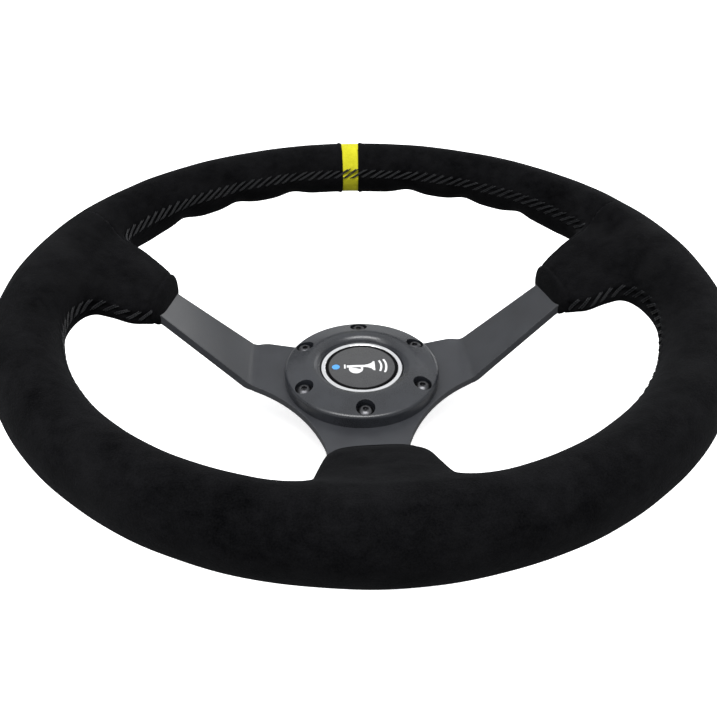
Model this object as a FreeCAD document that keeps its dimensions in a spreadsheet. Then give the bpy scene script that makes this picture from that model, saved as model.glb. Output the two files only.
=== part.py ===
"""Deep-dish six-bolt steering wheel with a sprung horn button and a ball-lock quick release.

The wheel lies face up: +Z runs along the steering axis towards the driver, +Y points to
twelve o'clock and +X to the driver's right. The origin is on the steering axis at the rear
mouth of the quick release, so the mouth is z = 0 and the rim is above it. Millimetres.
"""
import FreeCAD, Part
import math
import os
import re
import sys

import Sketcher
from FreeCAD import Rotation, Vector

DOC = FreeCAD.newDocument("steering_wheel")
SHEET = DOC.addObject("Spreadsheet::Sheet", "Sizes")

# Driving dimensions. Heights named *_level are above the rear mouth of the quick release.
SIZES = {
    # rim
    "rim_diameter": 350.0,
    "rim_radial_half": 15.2,
    "rim_axial_half": 17.0,
    "rim_level": 94.4,
    "cover_thickness": 1.2,
    "core_tube_radius": 6.0,
    "core_tube_wall": 1.5,
    "stripe_width": 12.5,
    "seam_cord_radius": 0.7,
    "cover_split_angle": 21.3,
    "upper_seam_start": 26.0,
    "lower_seam_start": 20.0,
    "lower_seam_end": 68.0,
    # spokes
    "coupler_depth": 30.0,
    "plate_thickness": 4.0,
    "plate_hub_radius": 43.0,
    "plate_hole_radius": 18.0,
    "bend_start": 62.5,
    "bend_angle": 46.9,
    "bend_radius": 6.0,
    "spoke_reach": 165.8,
    "side_strip_half": 45.0,
    "bottom_strip_half": 40.0,
    "side_crown": 55.5,
    "side_root_high": 34.6,
    "side_root_low": -5.0,
    "side_taper_end": 104.0,
    "side_tip_high": 26.4,
    "side_tip_low": -1.2,
    "crown_round": 12.0,
    "flare_angle": 41.0,
    "web_radius": 88.0,
    "bottom_root_half": 21.0,
    "bottom_taper_start": 56.0,
    "bottom_taper_end": 102.5,
    "bottom_tip_half": 16.2,
    "side_rivet_angle": 4.5,
    "rivet_half_angle": 2.8,
    "rivet_radius": 2.0,
    "rivet_head_radius": 4.0,
    "rivet_head_height": 1.6,
    # six-bolt joint
    "bolt_circle_radius": 37.0,
    "bolt_count": 6,
    "bolt_radius": 2.5,
    "bolt_clearance": 0.25,
    "bolt_length": 14.0,
    "bolt_head_radius": 4.75,
    "bolt_head_height": 2.75,
    "hex_key_size": 3.0,
    "hex_key_depth": 1.8,
    "counterbore_radius": 5.05,
    "bolt_seat_level": 39.25,
    # horn ring
    "ring_radius": 43.4,
    "ring_bore_radius": 23.3,
    "ring_crest_radius": 28.5,
    "ring_crest_level": 44.5,
    "ring_crest_round": 13.6,
    "ring_slope": 14.0,
    "ring_edge_round": 2.1,
    # horn button
    "housing_radius": 22.55,
    "housing_bore_radius": 21.2,
    "housing_floor_thickness": 1.2,
    "housing_top_level": 39.9,
    "bezel_radius": 23.0,
    "bezel_opening_radius": 20.4,
    "bezel_top_level": 41.1,
    "bezel_round": 0.55,
    "cap_radius": 19.5,
    "cap_edge_level": 40.75,
    "cap_edge_round": 0.4,
    "badge_radius": 18.6,
    "badge_edge": 0.15,
    "badge_crown": 0.5,
    "cap_flange_radius": 20.95,
    "cap_thickness": 1.2,
    "horn_travel": 1.6,
    "horn_spring_circle": 15.0,
    "horn_spring_radius": 2.4,
    "horn_spring_wire": 0.4,
    "contact_thickness": 0.4,
    "contact_reach": 10.0,
    "contact_width": 5.0,
    "contact_boss_radius": 3.2,
    "contact_boss_height": 0.5,
    "contact_rivet_radius": 1.15,
    "contact_rivet_head": 2.2,
    "blade_offset": 13.0,
    "blade_width": 4.8,
    "blade_thickness": 0.6,
    "wire_radius": 0.8,
    # quick release
    "flange_radius": 41.5,
    "flange_thickness": 5.0,
    "scallop_radius": 18.0,
    "scallop_circle": 52.0,
    "sleeve_radius": 14.0,
    "pilot_radius": 10.0,
    "pilot_end_level": 6.6,
    "ball_bore_radius": 10.4,
    "spline_root_radius": 10.0,
    "spline_tip_radius": 8.8,
    "spline_start_level": 13.6,
    "spline_end_level": 23.0,
    "spline_count": 12,
    "spline_groove_width": 2.4,
    "mouth_chamfer": 0.6,
    "ball_radius": 3.0,
    "ball_count": 6,
    "ball_level": 10.0,
    "ball_locked_radius": 11.307,
    "ball_running_gap": 0.03,
    "collar_travel": 5.0,
    "ball_travel": 1.8,
    "collar_rear_level": 2.95,
    "collar_front_level": 19.0,
    "collar_grip_radius": 19.5,
    "collar_lip_radius": 23.0,
    "collar_lip_level": 15.0,
    "collar_bore_gap": 0.06,
    "collar_recess_radius": 16.1,
    "collar_pocket_radius": 17.2,
    "collar_pocket_level": 14.0,
    "grip_groove_count": 24,
    "grip_groove_radius": 0.9,
    "collar_spring_radius": 15.6,
    "collar_spring_wire": 0.6,
    "collar_spring_turns": 4.0,
    "circlip_level": 1.45,
    "circlip_thickness": 1.4,
    "circlip_groove_radius": 13.3,
    "circlip_radius": 17.0,
    "circlip_gap_width": 9.0,
    # centre contact
    "bush_radius": 6.0,
    "bush_flange_radius": 8.0,
    "bush_flange_thickness": 1.5,
    "bush_chamber_radius": 3.2,
    "bush_step_level": 26.3,
    "plunger_radius": 1.5,
    "plunger_head_radius": 2.7,
    "plunger_head_height": 1.0,
    "plunger_tip_level": 21.6,
    "plunger_spring_radius": 2.2,
    "plunger_spring_wire": 0.3,
    "contact_cap_radius": 5.5,
    "contact_cap_thickness": 0.6,
    "ground_screw_offset": 12.4,
    "ground_screw_angle": 300.0,
    "wire_bend_radius": 3.5,
    "ground_screw_radius": 1.25,
    "ground_screw_length": 4.0,
    "ground_head_height": 1.4,
    "ground_head_edge": 0.7,
    "screwdriver_slot_width": 0.6,
    "screwdriver_slot_depth": 0.6,
    "eyelet_radius": 2.9,
    "eyelet_neck_width": 1.8,
    "eyelet_neck_start": 2.6,
    "eyelet_barrel_start": 4.8,
    "crimp_length": 2.6,
}


def fill_sheet():
    """Put every driving dimension in the sheet as a named cell."""
    for row, (name, number) in enumerate(SIZES.items(), start=1):
        SHEET.set(f"A{row}", name)
        SHEET.set(f"B{row}", str(number))
        SHEET.setAlias(f"B{row}", name)
    DOC.recompute()


def linked(formula):
    """The formula with each size's name pointing at its cell in the sheet."""
    def point_at_cell(match):
        word = match.group()
        return "Sizes." + word if word in SIZES else word
    return re.sub(r"[a-z]\w+", point_at_cell, str(formula))


def size(formula):
    """The present value of a formula of driving dimensions."""
    value = SHEET.evalExpression(linked(formula))
    return float(getattr(value, "Value", value))


# Levels and radii that several pieces share, as formulas of the driving dimensions.
RIM_RADIUS = "(rim_diameter / 2 - rim_radial_half)"
PLATE_FRONT = "(coupler_depth + plate_thickness)"
FLANGE_REAR = "(coupler_depth - flange_thickness)"
SPOKE_TOP = "(rim_level - core_tube_radius)"
RAMP_SLOPE = "(ball_travel / collar_travel)"
RAMP_ANGLE = f"atan({RAMP_SLOPE})"
RAMP_TOUCH_LEVEL = f"(ball_level + ball_radius * sin({RAMP_ANGLE}))"
RAMP_TOUCH_RADIUS = f"(ball_locked_radius + ball_radius * cos({RAMP_ANGLE}) + 0.02)"
COLLAR_BORE = "(sleeve_radius + collar_bore_gap)"
FLOOR_TOP = f"({PLATE_FRONT} + housing_floor_thickness)"
CAP_UNDERSIDE = "(housing_top_level - cap_thickness)"
GAP = "0.02"


# ---------------------------------------------------------------- building helpers

def new(kind, label, **formulas):
    """A document object with its sizes bound to formulas of the sheet."""
    item = DOC.addObject(kind, label)
    item.Label = label
    for name, formula in formulas.items():
        item.setExpression(name, linked(formula))
    return item


def place(item, x="0", y="0", z="0", rotation=None):
    """Put an object at a place given by formulas, and turn it."""
    if rotation is not None:
        item.Placement = FreeCAD.Placement(Vector(), rotation)
    for axis, formula in zip("xyz", (x, y, z)):
        item.setExpression(f"Placement.Base.{axis}", linked(formula))
    return item


def origin_plane(body, role):
    return next(item for item in body.Origin.OriginFeatures if item.Role == role)


def new_sketch(body, name, plane, level="0"):
    """An empty sketch on one of the body's own planes, raised by a formula."""
    sketch = body.newObject("Sketcher::SketchObject", f"{body.Name}_{name}")
    sketch.AttachmentSupport = [(origin_plane(body, plane), "")]
    sketch.MapMode = "FlatFace"
    sketch.setExpression("AttachmentOffset.Base.z", linked(level))
    return sketch


def fix_point(sketch, geometry, position, x, y):
    """Tie a point of a sketch to its two coordinates, given as formulas."""
    for kind, formula, axis in (("DistanceX", x, -2), ("DistanceY", y, -1)):
        number = size(formula)
        if abs(number) < 1e-9:
            sketch.addConstraint(Sketcher.Constraint("PointOnObject", geometry, position, axis))
            continue
        index = sketch.addConstraint(
            Sketcher.Constraint(kind, -1, 1, geometry, position, number))
        sketch.setExpression(f"Constraints[{index}]", linked(formula))


def arc_middle(start, end, radius):
    """The middle of the short arc between two points; a positive radius turns anticlockwise."""
    chord = end - start
    half = chord.Length / 2
    sagitta = abs(radius) - math.sqrt(max(radius * radius - half * half, 0))
    right = Vector(chord.y, -chord.x, 0).normalize()
    return (start + end) * 0.5 + right * math.copysign(sagitta, radius)


def draw_outline(sketch, outline):
    """A closed outline of lines and arcs.

    Each corner is (x, y), or (x, y, radius) where an arc leaves it for the next corner.
    """
    corners = [Vector(size(step[0]), size(step[1]), 0) for step in outline]
    ends = []
    for index, step in enumerate(outline):
        start, end = corners[index], corners[(index + 1) % len(corners)]
        if len(step) == 2:
            geometry = sketch.addGeometry(Part.LineSegment(start, end), False)
            ends.append((geometry, 1, 2))
            continue
        radius = size(step[2])
        middle = arc_middle(start, end, radius)
        turns_left = radius > 0
        arc = Part.Arc(start, middle, end) if turns_left else Part.Arc(end, middle, start)
        geometry = sketch.addGeometry(arc, False)
        ends.append((geometry, 1, 2) if turns_left else (geometry, 2, 1))
        index_of_radius = sketch.addConstraint(
            Sketcher.Constraint("Radius", geometry, abs(radius)))
        sketch.setExpression(f"Constraints[{index_of_radius}]",
                             linked(f"abs({step[2]})"))
    for index, (geometry, _, last) in enumerate(ends):
        following, first, _ = ends[(index + 1) % len(ends)]
        sketch.addConstraint(Sketcher.Constraint("Coincident", geometry, last, following, first))
    for (geometry, first, _), step in zip(ends, outline):
        fix_point(sketch, geometry, first, step[0], step[1])


def draw_circle(sketch, x, y, radius):
    circle = Part.Circle(Vector(size(x), size(y), 0), Vector(0, 0, 1), size(radius))
    geometry = sketch.addGeometry(circle, False)
    fix_point(sketch, geometry, 3, x, y)
    index = sketch.addConstraint(Sketcher.Constraint("Radius", geometry, size(radius)))
    sketch.setExpression(f"Constraints[{index}]", linked(radius))


def new_body(label):
    body = DOC.addObject("PartDesign::Body", label)
    body.Label = label
    return body


def turned(label, outline):
    """A body turned about the Z axis from an outline of (radius, level) corners."""
    body = new_body(label)
    sketch = new_sketch(body, "profile", "XZ_Plane")
    draw_outline(sketch, outline)
    turn = body.newObject("PartDesign::Revolution", f"{label}_turn")
    turn.Profile = sketch
    turn.ReferenceAxis = (sketch, ["V_Axis"])
    turn.Angle = 360
    DOC.recompute()
    return body


def padded(body, name, plane, level, length, draw, symmetric=False):
    """Raise a pad from a sketch that the draw function fills in."""
    sketch = new_sketch(body, name, plane, level)
    draw(sketch)
    pad = body.newObject("PartDesign::Pad", f"{body.Name}_{name}_pad")
    pad.Profile = sketch
    pad.SideType = "Symmetric" if symmetric else "One side"
    pad.setExpression("Length", linked(length))
    DOC.recompute()
    return pad


def cut(body, name, plane, level, draw, length=None, towards_plus=False, count=None):
    """Cut a pocket from a sketch, repeat it round Z, and check that it removed something."""
    before = body.Shape.Volume
    sketch = new_sketch(body, name, plane, level)
    draw(sketch)
    pocket = body.newObject("PartDesign::Pocket", f"{body.Name}_{name}_cut")
    pocket.Profile = sketch
    pocket.Reversed = towards_plus
    if length is None:
        pocket.Type = "ThroughAll"
    else:
        pocket.Type = "Length"
        pocket.setExpression("Length", linked(length))
    DOC.recompute()
    if count is not None:
        ring = body.newObject("PartDesign::PolarPattern", f"{body.Name}_{name}_ring")
        ring.Originals = [pocket]
        ring.Axis = (next(o for o in body.Origin.OriginFeatures if o.Role == "Z_Axis"), [""])
        ring.Angle = 360
        ring.setExpression("Occurrences", linked(count))
        body.Tip = ring
        DOC.recompute()
    if body.Shape.Volume > before - 1e-3:
        raise RuntimeError(f"{body.Label}: {name} removed nothing")
    return pocket


def polar(radius, degrees):
    """Formulas for the x and y of a point at a radius and an angle."""
    return f"({radius}) * cos({degrees})", f"({radius}) * sin({degrees})"


def circle_at(radius_from_axis, degrees, radius):
    """A drawing function for one round hole at a polar place."""
    x, y = polar(radius_from_axis, degrees)
    return lambda sketch: draw_circle(sketch, x, y, radius)


def rectangle(x_low, y_low, x_high, y_high):
    """A drawing function for a rectangle given by formulas."""
    corners = [(x_low, y_low), (x_high, y_low), (x_high, y_high), (x_low, y_high)]
    return lambda sketch: draw_outline(sketch, corners)


def rounded_edges(body, name, radius, chosen):
    """Round the edges of a body for which the chosen function says yes."""
    names = [f"Edge{i}" for i, edge in enumerate(body.Shape.Edges, start=1) if chosen(edge)]
    if not names:
        raise RuntimeError(f"{body.Label}: {name} found no edge")
    base = body.Tip
    rounding = body.newObject("PartDesign::Fillet", f"{body.Name}_{name}")
    rounding.Base = (base, names)
    rounding.setExpression("Radius", linked(radius))
    DOC.recompute()
    return rounding


def shaped(label, shape):
    """A piece whose shape is worked out in code from the sheet's sizes."""
    piece = DOC.addObject("Part::Feature", label)
    piece.Label = label
    piece.Shape = shape
    piece.Placement = FreeCAD.Placement()
    return piece


def joined(label, items):
    group = DOC.addObject("Part::MultiFuse", label)
    group.Label = label
    group.Shapes = items
    return group


def common(label, first, second):
    item = DOC.addObject("Part::Common", label)
    item.Label = label
    item.Base = first
    item.Tool = second
    return item


def coil(label, radius, wire, low, high, turns, x="0", y="0", turns_per_face="1"):
    """A closed-end look-alike compression spring: one round wire swept along a helix."""
    span = f"({high} - {low} - 2 * {wire} - 2 * {GAP})"
    spine = new("Part::Helix", f"{label}_spine", Radius=radius, Height=span,
                Pitch=f"{span} / {turns}", SegmentLength=turns_per_face)
    place(spine, x, y, f"{low} + {wire} + {GAP}")
    section = new("Part::Circle", f"{label}_wire", Radius=wire)
    place(section, f"{x} + {radius}", y, f"{low} + {wire} + {GAP}",
          Rotation(Vector(1, 0, 0), 90))
    DOC.recompute()
    sweep = DOC.addObject("Part::Sweep", label)
    sweep.Label = label
    sweep.Sections = [section]
    sweep.Spine = (spine, [f"Edge{i + 1}" for i in range(len(spine.Shape.Edges))])
    sweep.Solid = True
    sweep.Frenet = True
    return sweep


def sector(start, end, margin=5.0):
    """A wedge of space about the Z axis between two angles, tall and wide enough for the rim."""
    radius = size("rim_diameter / 2") + margin
    height = size("rim_level + rim_axial_half") + margin
    wedge = Part.makeCylinder(radius, height, Vector(), Vector(0, 0, 1), end - start)
    wedge.rotate(Vector(), Vector(0, 0, 1), start)
    return wedge


# ---------------------------------------------------------------- spokes and rim

SPOKE_RUN = f"(({SPOKE_TOP} - {PLATE_FRONT}) / tan(bend_angle))"
OUTER_BEND = "(bend_radius + plate_thickness)"
INNER_TANGENT = "(bend_radius * tan(bend_angle / 2))"
OUTER_TANGENT = f"({OUTER_BEND} * tan(bend_angle / 2))"
BEND_SHIFT = "(plate_thickness * tan(bend_angle / 2))"


def bent_half(near, far):
    """Side view of one spoke: out along the rear face and back along the front face."""
    along, up = "cos(bend_angle)", "sin(bend_angle)"
    return [
        (f"{near} - {INNER_TANGENT}", "coupler_depth", OUTER_BEND),
        (f"{near} - {INNER_TANGENT} + {OUTER_BEND} * {up}",
         f"coupler_depth + {OUTER_BEND} * (1 - {along})"),
        (f"{far} + {BEND_SHIFT} - {INNER_TANGENT} * {along}",
         f"{SPOKE_TOP} - plate_thickness - {INNER_TANGENT} * {up}", "-bend_radius"),
        (f"{far} + {BEND_SHIFT} + {INNER_TANGENT}", f"{SPOKE_TOP} - plate_thickness"),
        ("spoke_reach", f"{SPOKE_TOP} - plate_thickness"),
        ("spoke_reach", SPOKE_TOP),
        (f"{far} + {OUTER_TANGENT}", SPOKE_TOP, OUTER_BEND),
        (f"{far} - {OUTER_TANGENT} * {along}", f"{SPOKE_TOP} - {OUTER_TANGENT} * {up}"),
        (f"{near} + {INNER_TANGENT} * {along}", f"{PLATE_FRONT} + {INNER_TANGENT} * {up}",
         "-bend_radius"),
        (f"{near} - {INNER_TANGENT}", PLATE_FRONT),
    ]


def mirrored(outline):
    """The same outline with x negated, walked so that it still runs anticlockwise."""
    flipped = []
    for index in range(len(outline) - 1, -1, -1):
        x, y = outline[index][:2]
        arc_before = outline[index - 1][2:] if index > 0 else ()
        flipped.append((f"-({x})", y) + tuple(arc_before))
    return flipped


def bent_strip(label, plane, width, outline):
    """A wide strip of plate bent to a side view."""
    body = new_body(label)
    padded(body, "side_view", plane, "0", width,
           lambda sketch: draw_outline(sketch, outline), symmetric=True)
    return body


def plan_right():
    """Right side of the spokes seen from above, from the bottom tip round to the hub's top."""
    return [
        ("bottom_tip_half", "-spoke_reach"),
        ("bottom_tip_half", "-bottom_taper_end"),
        ("bottom_root_half", "-bottom_taper_start", "-web_radius"),
        ("bend_start", "side_root_low"),
        ("side_taper_end", "side_tip_low"),
        ("spoke_reach", "side_tip_low"),
        ("spoke_reach", "side_tip_high"),
        ("side_taper_end", "side_tip_high"),
        ("side_crown", "side_root_high"),
        ("plate_hub_radius * cos(flare_angle)", "plate_hub_radius * sin(flare_angle)",
         "plate_hub_radius"),
    ]


def is_crown(edge):
    """True for the upright edges where a side spoke is widest."""
    box = edge.BoundBox
    upright = box.XLength < 1e-6 and box.YLength < 1e-6
    return upright and abs(abs(box.Center.x) - size("side_crown")) < 1e-3


def spoke_plate():
    """One bent plate: hub disc, two side spokes and the bottom spoke."""
    half = bent_half("bend_start", f"(bend_start + {SPOKE_RUN})")
    across = bent_strip("side_spoke_strip", "XZ_Plane", "2 * side_strip_half",
                        half + mirrored(half))
    down = bent_strip("bottom_spoke_strip", "YZ_Plane", "2 * bottom_strip_half",
                      mirrored(half) + [("0", "coupler_depth"), ("0", PLATE_FRONT)])
    plan = new_body("spoke_plan")
    right = plan_right()
    padded(plan, "outline", "XY_Plane", "0", "rim_level + rim_axial_half",
           lambda sketch: draw_outline(sketch, right + mirrored(right)))
    rounded_edges(plan, "crowns", "crown_round", is_crown)
    cut(plan, "hub_hole", "XY_Plane", "0", circle_at("0", "0", "plate_hole_radius"),
        towards_plus=True)
    cut(plan, "bolt_hole", "XY_Plane", "0",
        circle_at("bolt_circle_radius", "90", "bolt_radius + bolt_clearance"),
        towards_plus=True, count="bolt_count")
    strips = joined("spoke_strips", [across, down])
    blank = common("spoke_blank", strips, plan)
    return drilled_for_rivets("spoke_plate", blank)


def rivet_angles():
    """Two rivets at each of the three spokes, as angles about the steering axis."""
    middles = [size("side_rivet_angle"), 180 - size("side_rivet_angle"), 270.0]
    half = size("rivet_half_angle")
    return [middle + side * half for middle in middles for side in (-1, 1)]


def round_rim(shape, angles):
    """Copies of a shape that stands on the rim's circle, turned to each angle."""
    copies = []
    for angle in angles:
        copy = shape.copy()
        copy.rotate(Vector(), Vector(0, 0, 1), angle)
        copies.append(copy)
    return copies


def drilled_for_rivets(label, source):
    """A source object with the rivets' shank holes cut through it."""
    DOC.recompute()
    hole = Part.makeCylinder(size("rivet_radius"), size("rim_axial_half * 4"),
                             Vector(size(RIM_RADIUS), 0, size("rim_level - rim_axial_half * 2")))
    drills = shaped(f"{label}_rivet_drills", Part.makeCompound(round_rim(hole, rivet_angles())))
    item = DOC.addObject("Part::Cut", label)
    item.Label = label
    item.Base = source
    item.Tool = drills
    return item


def core_ring():
    """The aluminium tube inside the rim, drilled where the spokes are riveted to it."""
    outside = new("Part::Torus", "core_outside", Radius1=RIM_RADIUS, Radius2="core_tube_radius")
    inside = new("Part::Torus", "core_inside", Radius1=RIM_RADIUS,
                 Radius2="core_tube_radius - core_tube_wall")
    for torus in (outside, inside):
        place(torus, z="rim_level")
    tube = DOC.addObject("Part::Cut", "core_tube")
    tube.Base = outside
    tube.Tool = inside
    return drilled_for_rivets("core_ring", tube)


def spoke_rivets():
    """Six rivets that hold the spoke tips up against the core ring."""
    low = f"({SPOKE_TOP} - plate_thickness)"
    high = "(rim_level + core_tube_radius)"
    rivet = turned("rivet", [
        ("0", f"{low} - rivet_head_height"),
        ("rivet_head_radius", f"{low} - rivet_head_height"),
        ("rivet_head_radius", low),
        ("rivet_radius", low),
        ("rivet_radius", high),
        ("rivet_head_radius - 1", high),
        ("rivet_head_radius - 1", f"{high} + rivet_head_height"),
        ("0", f"{high} + rivet_head_height"),
    ])
    shape = rivet.Shape.copy()
    shape.translate(Vector(size(RIM_RADIUS), 0, 0))
    return shaped("spoke_rivets", Part.makeCompound(round_rim(shape, rivet_angles())))


# Padded sleeves over the spoke tips, as sections across the spoke. One row per section:
# distance out along the spoke, low side, high side, back level, front level.
SIDE_PAD = [(103.5, -3.6, 31.0, 69.5, 86.5), (110, -6.5, 38, 72.5, 89.5), (118, -8, 46, 75, 93),
            (128, -7, 55, 76.5, 97.5), (138, -6, 61, 78, 101.5), (152, -9, 65, 83, 105)]
BOTTOM_PAD = [(105, -18.8, 18.8, 70.4, 81.8), (114, -21.5, 21.5, 75, 91),
              (122, -24.5, 24.5, 76.5, 95), (130, -28, 28, 77.5, 98.5), (138, -33, 33, 79, 101.5),
              (152, -38, 38, 83, 105)]
PAD_ROUND = 5.5


def rounded_section(row, inset):
    """One rounded rectangle across a spoke that points along +X, shrunk by an inset."""
    along, low, high, back, front = row
    left, right = low + inset, high - inset
    bottom, top = back + inset, front - inset
    radius = PAD_ROUND - inset
    diagonal = radius * (1 - math.sqrt(0.5))
    edges = []
    turns = [(right, bottom, -1, 1), (right, top, -1, -1), (left, top, 1, -1),
             (left, bottom, 1, 1)]
    points = []
    for y, z, inward_y, inward_z in turns:
        on_side = Vector(along, y, z + inward_z * radius)
        on_level = Vector(along, y + inward_y * radius, z)
        middle = Vector(along, y + inward_y * diagonal, z + inward_z * diagonal)
        upwards = inward_y * inward_z < 0
        points.append((on_level, middle, on_side) if upwards else (on_side, middle, on_level))
    for index, (start, middle, end) in enumerate(points):
        edges.append(Part.Arc(start, middle, end).toShape())
        edges.append(Part.makeLine(end, points[(index + 1) % 4][0]))
    return Part.Wire(edges)


def padded_sleeve(rows, inset):
    """A sleeve through its sections, for a spoke that points along +X."""
    share = inset / (rows[1][0] - rows[0][0])
    first = [near + (far - near) * share for near, far in zip(rows[0], rows[1])]
    return Part.makeLoft([rounded_section(row, inset) for row in [first] + rows[1:]], True)


def padded_form(inset):
    """The rim's oval section all the way round, with its three sleeves, shrunk by an inset."""
    middle = Vector(size(RIM_RADIUS), 0, size("rim_level"))
    highest = middle + Vector(0, 0, size("rim_axial_half") - inset)
    widest = middle + Vector(size("rim_radial_half") - inset, 0, 0)
    section = Part.Face(Part.Wire(Part.Ellipse(highest, widest, middle).toShape()))
    rim = section.revolve(Vector(), Vector(0, 0, 1), 360)
    right = padded_sleeve(SIDE_PAD, inset)
    left = right.mirror(Vector(), Vector(1, 0, 0))
    bottom = padded_sleeve(BOTTOM_PAD, inset)
    bottom.rotate(Vector(), Vector(0, 0, 1), -90)
    return rim.multiFuse([right, left, bottom])


def rim_soft_parts(plate, core, rivets):
    """Foam, the three suede pieces and the centre stripe, all clear of the metal inside."""
    metal = [plate.Shape, core.Shape, rivets.Shape]
    tube_filling = Part.makeTorus(size(RIM_RADIUS), size(f"core_tube_radius + {GAP}"),
                                  Vector(0, 0, size("rim_level")))
    outer = padded_form(0)
    inner = padded_form(size("cover_thickness"))
    foam = shaped("rim_foam", inner.cut([tube_filling] + metal))
    cover = outer.cut([inner] + metal)
    half_stripe = size("stripe_width / 2")
    tall = size("rim_level + rim_axial_half") + 1
    wide = size("rim_diameter / 2") + 1
    stripe_space = Part.makeBox(2 * half_stripe, wide, tall, Vector(-half_stripe, 0, 0))
    split = size("cover_split_angle")
    upper_right_space = sector(split, 90).cut(stripe_space)
    upper_left_space = sector(90, 180 - split).cut(stripe_space)
    lower_space = sector(180 - split, 360 + split)
    return [
        foam,
        shaped("centre_stripe", cover.common(stripe_space)),
        shaped("suede_upper_right", cover.common(upper_right_space)),
        shaped("suede_upper_left", cover.common(upper_left_space)),
        shaped("suede_lower", cover.common(lower_space)),
    ]


def seam_cord(label, start, end):
    """A round thread along the rim's inner circumference between two angles."""
    cord = new("Part::Torus", label, Angle3=f"{end} - {start}", Radius2="seam_cord_radius",
               Radius1=f"{RIM_RADIUS} - rim_radial_half - seam_cord_radius - {GAP}")
    place(cord, z="rim_level", rotation=Rotation(Vector(0, 0, 1), size(start)))
    return cord


def seam_cords():
    """The sewn seams: one over the top half of the rim and one in each lower opening."""
    return [
        seam_cord("stitch_upper", "upper_seam_start", "(180 - upper_seam_start)"),
        seam_cord("stitch_lower_right", "(360 - lower_seam_end)", "(360 - lower_seam_start)"),
        seam_cord("stitch_lower_left", "(180 + lower_seam_start)", "(180 + lower_seam_end)"),
    ]


# ---------------------------------------------------------------- horn ring and button

RING_SLOPE_TOP_RADIUS = "(ring_crest_radius + ring_crest_round * sin(ring_slope))"
RING_SLOPE_TOP = "(ring_crest_level - ring_crest_round * (1 - cos(ring_slope)))"
RING_SLOPE_END_RADIUS = "(ring_radius - ring_edge_round * (1 - sin(ring_slope)))"
RING_SLOPE_END = (f"({RING_SLOPE_TOP} - ({RING_SLOPE_END_RADIUS} - {RING_SLOPE_TOP_RADIUS})"
                  " * tan(ring_slope))")
RING_WALL_TOP = f"({RING_SLOPE_END} - ring_edge_round * cos(ring_slope))"
RING_THROAT_ROUND = "(ring_crest_radius - ring_bore_radius)"


def horn_ring():
    """The turned ring clamped over the spokes: raised lip round the button, six bolt seats."""
    ring = turned("horn_ring", [
        ("ring_bore_radius", PLATE_FRONT),
        ("ring_radius", PLATE_FRONT),
        ("ring_radius", RING_WALL_TOP, "ring_edge_round"),
        (RING_SLOPE_END_RADIUS, RING_SLOPE_END),
        (RING_SLOPE_TOP_RADIUS, RING_SLOPE_TOP, "ring_crest_round"),
        ("ring_crest_radius", "ring_crest_level", RING_THROAT_ROUND),
        ("ring_bore_radius", f"ring_crest_level - {RING_THROAT_ROUND}"),
    ])
    cut(ring, "bolt_hole", "XY_Plane", "0",
        circle_at("bolt_circle_radius", "90", "bolt_radius + bolt_clearance"),
        towards_plus=True, count="bolt_count")
    cut(ring, "bolt_seat", "XY_Plane", "bolt_seat_level",
        circle_at("bolt_circle_radius", "90", "counterbore_radius"),
        towards_plus=True, count="bolt_count")
    return ring


def hexagon(across_flats):
    """A drawing function for a hexagon centred on the origin."""
    corner = f"({across_flats} / sqrt(3))"
    corners = [(f"{corner} * cos({60 * i})", f"{corner} * sin({60 * i})") for i in range(6)]
    return lambda sketch: draw_outline(sketch, corners)


def ring_screws():
    """Six button-head screws through ring and plate into the quick release's flange."""
    screw = turned("ring_screw", [
        ("0", "bolt_seat_level - bolt_length"),
        ("bolt_radius - 0.4", "bolt_seat_level - bolt_length"),
        ("bolt_radius", "bolt_seat_level - bolt_length + 0.4"),
        ("bolt_radius", "bolt_seat_level"),
        ("bolt_head_radius", "bolt_seat_level"),
        ("bolt_head_radius", "bolt_seat_level + 0.5", "bolt_head_radius + 0.6"),
        ("bolt_head_radius * 0.5", "bolt_seat_level + bolt_head_height"),
        ("0", "bolt_seat_level + bolt_head_height"),
    ])
    cut(screw, "hex_socket", "XY_Plane", "bolt_seat_level + bolt_head_height - hex_key_depth",
        hexagon("hex_key_size"), towards_plus=True)
    shape = screw.Shape.copy()
    shape.translate(Vector(size("bolt_circle_radius"), 0, 0))
    angles = [90 + 360 / size("bolt_count") * i for i in range(int(size("bolt_count")))]
    return shaped("ring_screws", Part.makeCompound(round_rim(shape, angles)))


SKIRT_GAP = "0.05"
BEZEL_SKIRT_LOW = "(housing_top_level - 1.85)"
BEZEL_SKIRT_INNER = "(housing_radius - 0.5)"
SEAL_LEVEL = f"({PLATE_FRONT} + 2)"
SEAL_GROOVE_HALF = "0.6"
SEAL_GROOVE_FLOOR = "(housing_radius - 0.43)"


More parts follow.
